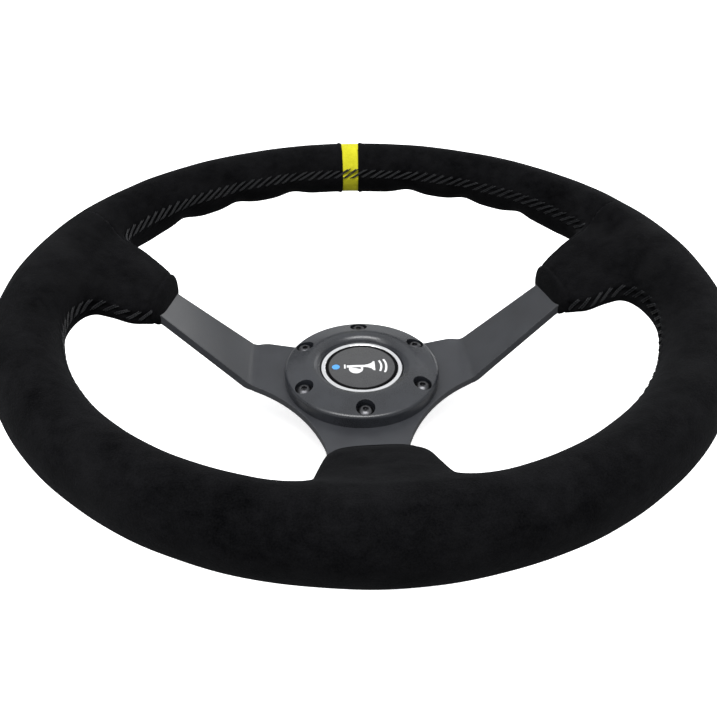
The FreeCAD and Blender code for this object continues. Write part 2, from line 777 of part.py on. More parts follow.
def horn_housing():
    """The button's cup: it stands on the spoke plate inside the ring's bore."""
    floor = f"({PLATE_FRONT} + {GAP})"
    cup = turned("horn_housing", [
        ("0", floor),
        ("housing_radius - 0.4", floor),
        ("housing_radius", f"{floor} + 0.4"),
        ("housing_radius", f"{SEAL_LEVEL} - {SEAL_GROOVE_HALF}"),
        (SEAL_GROOVE_FLOOR, f"{SEAL_LEVEL} - {SEAL_GROOVE_HALF}"),
        (SEAL_GROOVE_FLOOR, f"{SEAL_LEVEL} + {SEAL_GROOVE_HALF}"),
        ("housing_radius", f"{SEAL_LEVEL} + {SEAL_GROOVE_HALF}"),
        ("housing_radius", f"{BEZEL_SKIRT_LOW} - {SKIRT_GAP}"),
        (f"{BEZEL_SKIRT_INNER} - {SKIRT_GAP}", f"{BEZEL_SKIRT_LOW} - {SKIRT_GAP}"),
        (f"{BEZEL_SKIRT_INNER} - {SKIRT_GAP}", "housing_top_level"),
        ("housing_bore_radius", "housing_top_level"),
        ("housing_bore_radius", FLOOR_TOP),
        ("0", FLOOR_TOP),
    ])
    slot_half = "(blade_thickness / 2 + 0.1)"
    for side, sign in (("left", "-"), ("right", "")):
        middle = f"{sign}blade_offset"
        cut(cup, f"{side}_slot", "XY_Plane", "0",
            rectangle(f"{middle} - {slot_half}", "-(blade_width / 2 + 0.1)",
                      f"{middle} + {slot_half}", "blade_width / 2 + 0.1"), towards_plus=True)
    return cup


def housing_seal():
    """O-ring that grips the ring's bore and keeps the button from rattling."""
    seal = new("Part::Torus", "housing_seal", Radius1="housing_radius + 0.17", Radius2="0.55")
    return place(seal, z=SEAL_LEVEL)


def horn_bezel():
    """The bright ring round the button; its lip holds the cap down."""
    underside = f"(housing_top_level + {GAP})"
    return turned("horn_bezel", [
        (BEZEL_SKIRT_INNER, BEZEL_SKIRT_LOW),
        ("bezel_radius", BEZEL_SKIRT_LOW),
        ("bezel_radius", "bezel_top_level - bezel_round", "bezel_round"),
        ("bezel_radius - bezel_round", "bezel_top_level"),
        ("bezel_opening_radius + bezel_round", "bezel_top_level", "bezel_round"),
        ("bezel_opening_radius", "bezel_top_level - bezel_round"),
        ("bezel_opening_radius", underside),
        (BEZEL_SKIRT_INNER, underside),
    ])


def horn_cap():
    """The part that is pressed: a disc with a flange caught under the bezel's lip."""
    boss_low = f"({CAP_UNDERSIDE} - contact_boss_height)"
    hole_top = "(housing_top_level)"
    return turned("horn_cap", [
        ("contact_rivet_radius", boss_low),
        ("contact_boss_radius", boss_low),
        ("contact_boss_radius", CAP_UNDERSIDE),
        ("cap_flange_radius", CAP_UNDERSIDE),
        ("cap_flange_radius", "housing_top_level"),
        ("cap_radius", "housing_top_level"),
        ("cap_radius", "cap_edge_level - cap_edge_round", "cap_edge_round"),
        ("cap_radius - cap_edge_round", "cap_edge_level"),
        ("0", "cap_edge_level"),
        ("0", hole_top),
        ("contact_rivet_radius", hole_top),
    ])


def horn_badge():
    """A glossy domed disc stuck on the cap."""
    rise = "(badge_crown - badge_edge)"
    dome = f"((badge_radius ^ 2 + {rise} ^ 2) / (2 * {rise}))"
    return turned("horn_badge", [
        ("0", f"cap_edge_level + {GAP}"),
        ("badge_radius", f"cap_edge_level + {GAP}"),
        ("badge_radius", "cap_edge_level + badge_edge", dome),
        ("0", "cap_edge_level + badge_crown"),
    ])


def horn_springs():
    """Three small coils that lift the cap against the bezel."""
    coils = []
    for index in range(3):
        x, y = polar("horn_spring_circle", str(90 + 120 * index))
        coils.append(coil(f"horn_coil_{index + 1}", "horn_spring_radius", "horn_spring_wire",
                          FLOOR_TOP, CAP_UNDERSIDE, "2.5", x, y))
    DOC.recompute()
    return shaped("horn_springs", Part.makeCompound([item.Shape for item in coils]))


def box(label, length, width, height, x, y, z):
    block = new("Part::Box", label, Length=length, Width=width, Height=height)
    return place(block, x, y, z)


def moving_contact():
    """The brass bar under the cap that bridges the two fixed contacts."""
    top = f"({CAP_UNDERSIDE} - contact_boss_height)"
    body = new_body("moving_contact")
    half_length = "(contact_reach + 2)"
    padded(body, "bar", "XY_Plane", f"{top} - contact_thickness", "contact_thickness",
           rectangle(f"-{half_length}", "-contact_width / 2", half_length, "contact_width / 2"))
    cut(body, "rivet_hole", "XY_Plane", "0", circle_at("0", "0", "contact_rivet_radius"),
        towards_plus=True)
    return body


def contact_rivet():
    """Holds the moving contact to the cap."""
    bar_low = f"({CAP_UNDERSIDE} - contact_boss_height - contact_thickness)"
    return turned("contact_rivet", [
        ("0", f"{bar_low} - 0.5"),
        ("contact_rivet_head", f"{bar_low} - 0.5"),
        ("contact_rivet_head", bar_low),
        ("contact_rivet_radius", bar_low),
        ("contact_rivet_radius", f"housing_top_level - {GAP}"),
        ("0", f"housing_top_level - {GAP}"),
    ])


def fixed_contact(side, sign):
    """A brass strip on the floor with a raised button, and its blade through the floor."""
    button_top = (f"({CAP_UNDERSIDE} - contact_boss_height - contact_thickness - horn_travel"
                  f" - {GAP})")
    blade_low = "(coupler_depth + 1.2)"
    inner = "(contact_reach - 2)"
    outer = "(blade_offset + blade_thickness / 2)"
    strip_x = inner if sign > 0 else f"-{outer}"
    blade_x = ("blade_offset - blade_thickness / 2" if sign > 0
               else "-blade_offset - blade_thickness / 2")
    strip = box(f"{side}_strip", f"{outer} - {inner}", "blade_width", "contact_thickness",
                strip_x, "-blade_width / 2", FLOOR_TOP)
    blade = box(f"{side}_blade", "blade_thickness", "blade_width", f"{FLOOR_TOP} - {blade_low}",
                blade_x, "-blade_width / 2", blade_low)
    button = new("Part::Cylinder", f"{side}_button", Radius="1.5",
                 Height=f"{button_top} - {FLOOR_TOP}")
    place(button, f"{sign} * contact_reach", "0", FLOOR_TOP)
    return joined(f"fixed_contact_{side}", [strip, blade, button])


# ---------------------------------------------------------------- wiring under the button

TERMINAL_LOW = "(coupler_depth + 1.1)"
TERMINAL_HEIGHT = "2.5"
TERMINAL_MARGIN = "0.6"
WIRE_GAP = "0.06"
WIRE_LEVEL = f"(coupler_depth + contact_cap_thickness + wire_radius + {WIRE_GAP})"
CRIMP_WALL = "0.3"
GROUND_X, GROUND_Y = polar("ground_screw_offset", "ground_screw_angle")


def blade_terminal(label, sign):
    """A push-on terminal round a blade, with a crimp barrel that points to the middle."""
    slot_x = f"{sign} * blade_offset - blade_thickness / 2"
    half_body = f"(blade_thickness / 2 + {TERMINAL_MARGIN})"
    shell = box(f"{label}_shell", f"2 * {half_body}", f"blade_width + 2 * {TERMINAL_MARGIN}",
                TERMINAL_HEIGHT, f"{sign} * blade_offset - {half_body}",
                f"-blade_width / 2 - {TERMINAL_MARGIN}", TERMINAL_LOW)
    slot = box(f"{label}_slot", "blade_thickness", "blade_width", "plate_thickness",
               slot_x, "-blade_width / 2", TERMINAL_LOW)
    barrel = new("Part::Cylinder", f"{label}_barrel", Radius=f"wire_radius + {CRIMP_WALL}",
                 Height="3")
    tilt = Rotation(Vector(0, 1, 0), -90 * sign)
    place(barrel, f"{sign} * (blade_offset - {half_body} + 0.2)", "0", WIRE_LEVEL, tilt)
    body = joined(f"{label}_body", [shell, barrel])
    bore = new("Part::Cylinder", f"{label}_bore", Radius=f"wire_radius + {WIRE_GAP}",
               Height="2.6")
    place(bore, f"{sign} * (blade_offset - {half_body} - 0.2)", "0", WIRE_LEVEL, tilt)
    tools = joined(f"{label}_spaces", [slot, bore])
    terminal = DOC.addObject("Part::Cut", label)
    terminal.Label = label
    terminal.Base = body
    terminal.Tool = tools
    return terminal


def signal_wire():
    """Straight insulated wire from the left-hand contact to the solder spot on the cap."""
    run = new("Part::Cylinder", "signal_wire", Radius="wire_radius",
              Height="blade_offset - 5")
    return place(run, "-blade_offset + 3.5", "0", WIRE_LEVEL, Rotation(Vector(0, 1, 0), 90))


def ground_wire():
    """Insulated wire from the eyelet straight up and round a bend to the right-hand contact."""
    level = size(WIRE_LEVEL)
    x, y = size(GROUND_X), size(f"{GROUND_Y} + 5")
    bend = size("wire_bend_radius")
    start, turn = Vector(x, y, level), Vector(x, -bend, level)
    middle = Vector(x + bend * (1 - math.sqrt(0.5)), -bend * (1 - math.sqrt(0.5)), level)
    end = Vector(x + bend, 0, level)
    path = Part.Wire([Part.LineSegment(start, turn).toShape(),
                      Part.Arc(turn, middle, end).toShape()])
    ring = Part.Wire(Part.Circle(start, Vector(0, 1, 0), size("wire_radius")).toShape())
    return shaped("ground_wire", path.makePipeShell([ring], True, True))


def ground_screw():
    """A small pan-head screw that earths the horn circuit to the flange."""
    head_low = f"(coupler_depth + contact_thickness + {GAP})"
    screw = turned("ground_screw_turned", [
        ("0", "coupler_depth - ground_screw_length"),
        ("ground_screw_radius", "coupler_depth - ground_screw_length"),
        ("ground_screw_radius", head_low),
        ("2 * ground_screw_radius", head_low),
        ("2 * ground_screw_radius", f"{head_low} + ground_head_edge", "1.2"),
        ("2 * ground_screw_radius - 0.8", f"{head_low} + ground_head_height"),
        ("0", f"{head_low} + ground_head_height"),
    ])
    slot = box("ground_screw_slot", "6 * ground_screw_radius", "screwdriver_slot_width", "1",
               "-3 * ground_screw_radius", "-screwdriver_slot_width / 2",
               f"{head_low} + ground_head_height - screwdriver_slot_depth")
    item = DOC.addObject("Part::Cut", "ground_screw")
    item.Label = "ground_screw"
    item.Base = screw
    item.Tool = slot
    return place(item, GROUND_X, GROUND_Y)


def ring_terminal():
    """The eyelet under the earth screw, with its barrel towards twelve o'clock."""
    plate = new("Part::Cylinder", "eyelet_plate", Radius="eyelet_radius",
                Height="contact_thickness")
    neck = box("eyelet_neck", "eyelet_neck_width",
               "eyelet_barrel_start + crimp_length - eyelet_neck_start",
               f"contact_thickness + {CRIMP_WALL}", "-eyelet_neck_width / 2",
               "eyelet_neck_start", "0")
    upright = Rotation(Vector(1, 0, 0), -90)
    rise = f"({WIRE_LEVEL} - coupler_depth)"
    barrel = new("Part::Cylinder", "eyelet_barrel", Radius=f"wire_radius + {CRIMP_WALL}",
                 Height="crimp_length")
    place(barrel, "0", "eyelet_barrel_start", rise, upright)
    hole = new("Part::Cylinder", "eyelet_hole", Radius="ground_screw_radius + 0.05", Height="crimp_length")
    place(hole, z="-crimp_length / 2")
    bore = new("Part::Cylinder", "eyelet_bore", Radius=f"wire_radius + {WIRE_GAP}", Height="crimp_length")
    place(bore, "0", "eyelet_barrel_start + 0.1", rise, upright)
    item = DOC.addObject("Part::Cut", "ring_terminal")
    item.Label = "ring_terminal"
    item.Base = joined("eyelet_body", [plate, neck, barrel])
    item.Tool = joined("eyelet_spaces", [hole, bore])
    return place(item, GROUND_X, GROUND_Y, "coupler_depth")


def wiring():
    """Terminals and the two wires of the horn circuit."""
    return [blade_terminal("signal_terminal", -1), blade_terminal("ground_terminal", 1),
            signal_wire(), ground_wire(), ground_screw(), ring_terminal()]


# ---------------------------------------------------------------- quick release

def coupler_hub():
    """Flange and sleeve in one piece, with the plain pilot bore, ball holes and splines."""
    hub = turned("coupler_hub", [
        ("pilot_radius + mouth_chamfer", "0"),
        ("sleeve_radius - mouth_chamfer", "0"),
        ("sleeve_radius", "mouth_chamfer"),
        ("sleeve_radius", "circlip_level - 0.03"),
        ("circlip_groove_radius", "circlip_level - 0.03"),
        ("circlip_groove_radius", "circlip_level + circlip_thickness + 0.03"),
        ("sleeve_radius", "circlip_level + circlip_thickness + 0.03"),
        ("sleeve_radius", FLANGE_REAR),
        ("flange_radius - 0.6", FLANGE_REAR),
        ("flange_radius", f"{FLANGE_REAR} + 0.6"),
        ("flange_radius", "coupler_depth"),
        ("bush_flange_radius + 0.05", "coupler_depth"),
        ("bush_flange_radius + 0.05", "coupler_depth - bush_flange_thickness"),
        ("bush_radius + 0.02", "coupler_depth - bush_flange_thickness"),
        ("bush_radius + 0.02", "spline_end_level"),
        ("spline_tip_radius", "spline_end_level"),
        ("spline_tip_radius", "spline_start_level"),
        ("ball_bore_radius", "spline_start_level"),
        ("ball_bore_radius", "pilot_end_level"),
        ("pilot_radius", "pilot_end_level"),
        ("pilot_radius", "mouth_chamfer"),
    ])
    cut(hub, "scallop", "XY_Plane", FLANGE_REAR,
        circle_at("scallop_circle", "0", "scallop_radius"), towards_plus=True, count="bolt_count")
    cut(hub, "bolt_thread", "XY_Plane", FLANGE_REAR,
        circle_at("bolt_circle_radius", "90", "bolt_radius + 0.02"),
        towards_plus=True, count="bolt_count")
    cut(hub, "ball_hole", "YZ_Plane", "0",
        lambda sketch: draw_circle(sketch, "0", "ball_level", "ball_radius + ball_running_gap"),
        count="ball_count")
    cut(hub, "spline_groove", "XY_Plane", "spline_start_level",
        rectangle("spline_tip_radius - 1", "-spline_groove_width / 2",
                  "spline_root_radius", "spline_groove_width / 2"),
        length="spline_end_level - spline_start_level", towards_plus=True, count="spline_count")
    cut(hub, "ground_thread", "XY_Plane", "coupler_depth",
        circle_at("ground_screw_offset", "ground_screw_angle", "ground_screw_radius + 0.02"), length="4.3")
    return hub


def release_collar():
    """The sprung sliding collar: its tapered bore holds the balls in until it is pulled."""
    def ramp_radius(level):
        return f"({RAMP_TOUCH_RADIUS} + ({RAMP_TOUCH_LEVEL} - {level}) * {RAMP_SLOPE})"
    ramp_top = f"({RAMP_TOUCH_LEVEL} + ({RAMP_TOUCH_RADIUS} - {COLLAR_BORE}) / {RAMP_SLOPE})"
    ramp_low = (f"({RAMP_TOUCH_LEVEL} - (collar_recess_radius - {RAMP_TOUCH_RADIUS})"
                f" / {RAMP_SLOPE})")
    collar = turned("release_collar", [
        ("collar_recess_radius", "collar_rear_level"),
        ("collar_grip_radius - 0.8", "collar_rear_level"),
        ("collar_grip_radius", "collar_rear_level + 0.8"),
        ("collar_grip_radius", "collar_lip_level - 1.5", "-1.5"),
        ("collar_grip_radius + 1.5", "collar_lip_level"),
        ("collar_lip_radius - 0.6", "collar_lip_level", "0.6"),
        ("collar_lip_radius", "collar_lip_level + 0.6"),
        ("collar_lip_radius", "collar_front_level - 0.8"),
        ("collar_lip_radius - 0.8", "collar_front_level"),
        ("collar_pocket_radius", "collar_front_level"),
        ("collar_pocket_radius", "collar_pocket_level"),
        (COLLAR_BORE, "collar_pocket_level"),
        (COLLAR_BORE, ramp_top),
        ("collar_recess_radius", ramp_low),
    ])
    cut(collar, "grip_groove", "XY_Plane", "collar_rear_level - 1",
        circle_at("collar_grip_radius + 0.3", "0", "grip_groove_radius"),
        length="collar_lip_level - collar_rear_level - 1.5", towards_plus=True,
        count="grip_groove_count")
    return collar


def collar_spring():
    """Pushes the collar back over the balls."""
    return coil("collar_spring", "collar_spring_radius", "collar_spring_wire",
                "collar_pocket_level", FLANGE_REAR, "collar_spring_turns", turns_per_face="0.5")


def collar_circlip():
    """The open ring in the sleeve's groove that stops the collar."""
    clip = new_body("collar_circlip")
    padded(clip, "ring", "XY_Plane", "circlip_level", "circlip_thickness",
           lambda sketch: (draw_circle(sketch, "0", "0", "circlip_radius"),
                           draw_circle(sketch, "0", "0", f"circlip_groove_radius + {GAP}")))
    cut(clip, "opening", "XY_Plane", "0",
        rectangle("-circlip_gap_width / 2", "circlip_groove_radius - 2",
                  "circlip_gap_width / 2", "circlip_radius + 2"), towards_plus=True)
    for side in ("-", ""):
        x = f"{side}(circlip_gap_width / 2 + 1.7)"
        cut(clip, f"plier_hole_{'left' if side else 'right'}", "XY_Plane", "0",
            lambda sketch, x=x: draw_circle(sketch, x, "circlip_groove_radius + 1.2", "0.8"),
            towards_plus=True)
    return clip


def lock_balls():
    """Six steel balls, each free to move along its own radius."""
    balls = []
    for index in range(int(size("ball_count"))):
        ball = new("Part::Sphere", f"lock_ball_{index + 1}", Radius="ball_radius")
        x, y = polar("ball_locked_radius", f"{index} * 360 / ball_count")
        balls.append(place(ball, x, y, "ball_level"))
    return balls


def plunger_bush():
    """The insulating bush that carries the centre contact."""
    return turned("plunger_bush", [
        (f"plunger_radius + {SKIRT_GAP}", "spline_end_level + 0.6"),
        ("bush_radius", "spline_end_level + 0.6"),
        ("bush_radius", "coupler_depth - bush_flange_thickness"),
        ("bush_flange_radius", "coupler_depth - bush_flange_thickness"),
        ("bush_flange_radius", "coupler_depth"),
        ("bush_chamber_radius", "coupler_depth"),
        ("bush_chamber_radius", "bush_step_level"),
        (f"plunger_radius + {SKIRT_GAP}", "bush_step_level"),
    ])


def contact_plunger():
    """The sprung brass pin that meets the shaft's own contact."""
    head_low = f"(bush_step_level + {GAP})"
    return turned("contact_plunger", [
        ("0", "plunger_tip_level"),
        ("plunger_radius * 0.4", "plunger_tip_level", "plunger_radius"),
        ("plunger_radius", "plunger_tip_level + plunger_radius * 0.8"),
        ("plunger_radius", head_low),
        ("plunger_head_radius", head_low),
        ("plunger_head_radius", f"{head_low} + plunger_head_height"),
        ("0", f"{head_low} + plunger_head_height"),
    ])


def plunger_spring():
    """Pushes the centre contact out towards the shaft."""
    return coil("plunger_spring", "plunger_spring_radius", "plunger_spring_wire",
                f"(bush_step_level + plunger_head_height + {GAP})", "coupler_depth", "2.5")


def contact_cap():
    """The brass disc that closes the bush and takes the signal wire."""
    return turned("contact_cap", [
        ("0", "coupler_depth"),
        ("contact_cap_radius", "coupler_depth"),
        ("contact_cap_radius", "coupler_depth + contact_cap_thickness"),
        ("0", "coupler_depth + contact_cap_thickness"),
    ])


# ---------------------------------------------------------------- assembly and export

def build():
    """Every piece of the wheel, in the order it would be put together."""
    plate = spoke_plate()
    core = core_ring()
    rivets = spoke_rivets()
    DOC.recompute()
    pieces = [plate, core, rivets]
    pieces += rim_soft_parts(plate, core, rivets)
    pieces += seam_cords()
    pieces += [horn_ring(), ring_screws()]
    pieces += [horn_housing(), housing_seal(), horn_bezel(), horn_cap(), horn_badge(),
               horn_springs(), moving_contact(), contact_rivet(),
               fixed_contact("left", -1), fixed_contact("right", 1)]
    pieces += wiring()
    pieces += [coupler_hub(), release_collar(), collar_spring(), collar_circlip()]
    pieces += lock_balls()
    pieces += [plunger_bush(), contact_plunger(), plunger_spring(), contact_cap()]
    DOC.recompute()
    return pieces


def check(pieces):
    """Stop if any object failed or any piece has no sound shape."""
    failed = [item.Label for item in DOC.Objects
              if "Invalid" in item.State or "Error" in item.State]
    unsound = [piece.Label for piece in pieces
               if piece.Shape.isNull() or not piece.Shape.isValid() or not piece.Shape.Solids]
    if failed or unsound:
        print("failed:", failed, "unsound:", unsound)
        sys.exit(1)


def export(pieces):
    """Write each piece to its own STEP file, named after its label."""
    os.makedirs("parts", exist_ok=True)
    for old in os.listdir("parts"):
        os.remove(os.path.join("parts", old))
    for piece in pieces:
        piece.Shape.exportStep(f"parts/{piece.Label}.step")


fill_sheet()
PIECES = build()
check(PIECES)
export(PIECES)
print(f"{len(PIECES)} pieces written")
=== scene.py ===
import math

import bmesh
import bpy
import numpy as np
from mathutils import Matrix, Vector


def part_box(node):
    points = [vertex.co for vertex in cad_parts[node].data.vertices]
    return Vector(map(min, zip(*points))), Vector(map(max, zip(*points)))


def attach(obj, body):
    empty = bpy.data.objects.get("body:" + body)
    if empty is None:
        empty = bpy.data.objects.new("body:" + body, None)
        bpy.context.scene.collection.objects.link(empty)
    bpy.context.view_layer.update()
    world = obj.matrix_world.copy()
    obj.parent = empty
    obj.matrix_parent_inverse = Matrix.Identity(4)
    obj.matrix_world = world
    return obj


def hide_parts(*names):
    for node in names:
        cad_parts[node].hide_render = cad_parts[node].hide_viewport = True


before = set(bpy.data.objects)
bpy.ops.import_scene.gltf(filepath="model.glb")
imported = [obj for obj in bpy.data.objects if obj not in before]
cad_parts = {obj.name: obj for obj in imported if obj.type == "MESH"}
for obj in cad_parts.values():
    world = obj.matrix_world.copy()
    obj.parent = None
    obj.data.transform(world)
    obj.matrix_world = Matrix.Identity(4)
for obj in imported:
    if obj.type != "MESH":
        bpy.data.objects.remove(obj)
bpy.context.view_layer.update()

import openvdb
from mathutils import Matrix, Vector
from mathutils.kdtree import KDTree

MM = 0.001


# ---------------------------------------------------------------- sizes read from the frame

def box_mm(node):
    """Lowest and highest corner of a CAD node at rest, in millimetres."""
    low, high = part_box(node)
    return low / MM, high / MM


STRIPE_LOW, STRIPE_HIGH = box_mm("centre_stripe")
RIM_LEVEL = (STRIPE_LOW.z + STRIPE_HIGH.z) / 2
AXIAL_HALF = (STRIPE_HIGH.z - STRIPE_LOW.z) / 2
OUTER_RADIUS = STRIPE_HIGH.y
STRIPE_HALF_ANGLE = math.degrees(math.asin(STRIPE_HIGH.x / OUTER_RADIUS))
INNER_RADIUS = math.hypot(STRIPE_LOW.y, STRIPE_HIGH.x)
RIM_RADIUS = (OUTER_RADIUS + INNER_RADIUS) / 2
RADIAL_HALF = (OUTER_RADIUS - INNER_RADIUS) / 2
COVER_SPLIT_ANGLE = 68.7               # from twelve o'clock to the joint at the side pads
COVER_THICKNESS = 1.2
_, BADGE_HIGH = box_mm("horn_badge")

# Finger grips on the back of the upper rim: places and widths in degrees from twelve o'clock,
# heights in millimetres. The facing is where round the rim's section they are deepest.
GRIP_SPACING = 15.0
GRIP_COUNT = 3
GRIP_TROUGH_WIDTH = 3.3
GRIP_CREST = -1.1
GRIP_DEPTH = 2.7
GRIP_FADE = (49.0, 58.0)
GRIP_FACING = math.radians(240)

# Pads over the spoke tips. One row per station:
# distance out along the spoke, low side, high side, back level, front level.
SIDE_PAD = np.array([
    (98.0, -2.0, 31.5, 67.0, 84.5),
    (104.0, -3.2, 35.2, 70.0, 86.8),
    (110.0, -5.8, 41.2, 72.5, 89.5),
    (118.0, -9.2, 48.5, 75.0, 93.0),
    (128.0, -7.0, 55.0, 76.5, 97.5),
    (138.0, -6.0, 61.0, 78.0, 102.0),
    (150.0, -10.0, 66.0, 82.0, 106.0),
])
SIDE_PAD_END = 101.2
SIDE_PAD_TILT = 0.10                   # how far the end leans along the spoke, per mm across
SIDE_PAD_SQUARE_AT = 28.0              # distance above the wheel's centre line where it is even
BOTTOM_PAD = np.array([
    (98.0, -17.6, 17.6, 66.5, 77.5),
    (106.0, -18.8, 18.8, 71.0, 83.2),
    (114.0, -20.8, 21.3, 75.0, 90.2),
    (122.0, -22.8, 23.8, 76.5, 94.5),
    (130.0, -24.8, 26.3, 77.5, 98.3),
    (138.0, -27.0, 29.5, 79.0, 102.5),
    (150.0, -30.0, 33.0, 82.0, 106.5),
])
BOTTOM_PAD_END = 104.5
PAD_SQUARENESS = 3.0
PAD_END_ROUND = 4.5
PAD_STOP = 156.0
FILLET_HIGH_SIDE = 4.0
FILLET_LOW_SIDE = 13.0
FILLET_BOTTOM = 9.0
FILLET_CHANGE = (5.0, 40.0)            # distances above the centre line where the fillet changes

VOXEL = 1.0
FOAM_VOXEL = 3.0
FOAM_GAP = 0.3                         # between the foam and the inside of the cover
GRID_MARGIN = 4.0
GRID_FLOOR = 60.0                      # level below the whole padded rim

# Lacing that closes the cover.
STITCH_PITCH = 6.2
STITCH_HALF_HEIGHT = 3.6
STITCH_LEAN = 5.6
THREAD_RADIUS = 0.34
STRAND_GAP = 1.4
THREAD_PROUD = 0.55                    # height of the thread's middle line, in thread radii
THREAD_DIVE = 2.2                      # how far its ends go down, in thread radii
THREAD_SAG = 0.35                      # how far it sinks into the seam's groove
THREAD_SAG_WIDTH = 0.3                 # as a share of half a stitch
STITCH_UNEVEN = np.array([0.30, 0.40, 0.20])      # slip, tilt and reach of a hand stitch
STITCH_SAMPLES = 13
STITCH_LEANS = {"upper": 1.0, "lower_left": 0.7, "lower_right": 0.7}
SEAM_STEP = 0.25
SEAM_REACH = 9.0
SEAM_CLEAR = 2.0                       # seams shape only the inner half of the rim, less this
GROOVE_DEPTH = 1.1
GROOVE_WIDTH = 1.3
PUCKER = 0.45
PUCKER_OFFSET = 3.2
PUCKER_WIDTH = 1.9
PUCKER_EVEN_SHARE = 0.35               # part of the pucker that does not follow the stitches

# Where the seams run, in angles from twelve o'clock and in millimetres.
UPPER_SEAM_STOP = COVER_SPLIT_ANGLE - 1.0
UPPER_SEAM_INSET = 1.0
UPPER_SEAM_RISE = 1.8
LOWER_SEAM_ANGLES = (97.5, 163.0)
LOWER_SEAM_INSET = 1.5
LOWER_SEAM_DROP = 1.0
LOWER_SEAM_WALL = [(107.0, -6.5, 81.5), (113.0, -11.0, 84.0), (120.0, -11.5, 86.5),
                   (129.0, -11.0, 89.5), (137.0, -12.0, 91.8)]
LOWER_SEAM_ROUNDS = 6

# Edges of the cover: rolls beside the stripe, the joint at the side pads and the turned hems.
ROLL_HEIGHT = 0.55
ROLL_OFFSET = 1.3
ROLL_WIDTH = 1.1
TUCK_DEPTH = 0.9
TUCK_WIDTH = 0.45
STRIPE_SINK = 0.35
SPLIT_DEPTH = 0.55
SPLIT_WIDTH = 0.8
SPLIT_FADE = 6.0
HEM_WIDTH = 4.2
HEM_ROLL = 0.50
HEM_ROLL_WIDTH = 1.4
HEM_LINE = 0.75
HEM_LINE_WIDTH = 0.7
HEM_REACH = 12.0
SIDE_HEM_SPAN = (-20.0, 60.0)          # lowest and highest y of a side hem
BOTTOM_HEM_HALF = 30.0
SLOW_WAVE = 0.16
QUICK_WAVE = 0.05

# Printed emblem on the domed badge.
EMBLEM_SCALE = 1.28
BADGE_DOME = 0.35
INK_HEIGHT = 0.05
INK_ROOT = 0.03
INK_EDGE = 0.8
PIPE_HALF = 0.75
BELL_END = 5.8
ARC_HALF_WIDTH = 0.45
ARC_HALF_ANGLE = 24


# ---------------------------------------------------------------- shape of the padded rim

def smooth_curve(at, knots, values):
    """A curve through the knots whose slope never jumps."""
    slopes = np.gradient(values, knots)
    index = np.clip(np.searchsorted(knots, at) - 1, 0, len(knots) - 2)
    span = knots[index + 1] - knots[index]
    t = np.clip((at - knots[index]) / span, 0, 1)
    return ((2 * t ** 3 - 3 * t ** 2 + 1) * values[index]
            + (t ** 3 - 2 * t ** 2 + t) * span * slopes[index]
            + (3 * t ** 2 - 2 * t ** 3) * values[index + 1]
            + (t ** 3 - t ** 2) * span * slopes[index + 1])


def smooth_step(low, high, value):
    """0 below the low value, 1 above the high one, smooth between."""
    t = np.clip((value - low) / (high - low), 0, 1)
    return t * t * (3 - 2 * t)


def smooth_min(a, b, width):
    """The lower of two distances, blended over a width so that the shapes join in a fillet."""
    h = np.clip(0.5 + 0.5 * (b - a) / width, 0, 1)
    return b + (a - b) * h - width * h * (1 - h)


def smooth_max(a, b, width):
    """The higher of two distances, blended over a width."""
    return -smooth_min(-a, -b, width)


def from_twelve(x, y):
    """Angle from twelve o'clock in degrees, positive towards the driver's right."""
    return np.degrees(np.arctan2(x, y))


def rim_distance(x, y, z):
    """Distance to the oval rim with its finger grips."""
    across = np.hypot(x, y) - RIM_RADIUS
    up = z - RIM_LEVEL
    scaled = np.hypot(across / RADIAL_HALF, up / AXIAL_HALF) + 1e-9
    steep = np.hypot(across / RADIAL_HALF ** 2, up / AXIAL_HALF ** 2) + 1e-9
    distance = scaled * (scaled - 1) / steep
    angle = np.abs(from_twelve(x, y))
    wave = GRIP_CREST
    for number in range(1, GRIP_COUNT + 1):
        wave = wave - GRIP_DEPTH * np.exp(-((angle - GRIP_SPACING * number)
                                            / GRIP_TROUGH_WIDTH) ** 2)
    fade = 1 - smooth_step(*GRIP_FADE, angle)
    facing = (across / RADIAL_HALF * math.cos(GRIP_FACING)
              + up / AXIAL_HALF * math.sin(GRIP_FACING)) / scaled
    return distance - wave * fade * np.clip(facing, 0, 1) ** 2


def side_pad_end(y):
    """Where a side sleeve ends along its spoke, at a distance across the spoke."""
    return SIDE_PAD_END + SIDE_PAD_TILT * (SIDE_PAD_SQUARE_AT - y)


def pad_distance(along, side, z, stations, end):
    """Distance to one padded sleeve that widens from its end on the spoke to the rim."""
    knots = stations[:, 0]
    low, high, back, front = (smooth_curve(along, knots, stations[:, i]) for i in (1, 2, 3, 4))
    half_width = (high - low) / 2
    half_height = (front - back) / 2
    across = np.abs(side - (high + low) / 2) / half_width
    up = np.abs(z - (front + back) / 2) / half_height
    reach = (across ** PAD_SQUARENESS + up ** PAD_SQUARENESS + 1e-9) ** (1 / PAD_SQUARENESS)
    walls = (reach - 1) * np.minimum(half_width, half_height)
    body = smooth_max(walls, end - along, PAD_END_ROUND)
    return np.maximum(body, along - PAD_STOP)


def wheel_distance(x, y, z):
    """Distance to the whole padded rim: negative inside, zero on the suede."""
    rim = rim_distance(x, y, z)
    side = pad_distance(np.abs(x), y, z, SIDE_PAD, side_pad_end(y))
    upward = smooth_step(*FILLET_CHANGE, y)
    side_fillet = FILLET_LOW_SIDE + (FILLET_HIGH_SIDE - FILLET_LOW_SIDE) * upward
    body = smooth_min(rim, side, side_fillet)
    bottom = pad_distance(-y, x, z, BOTTOM_PAD, BOTTOM_PAD_END)
    return smooth_min(body, bottom, FILLET_BOTTOM)


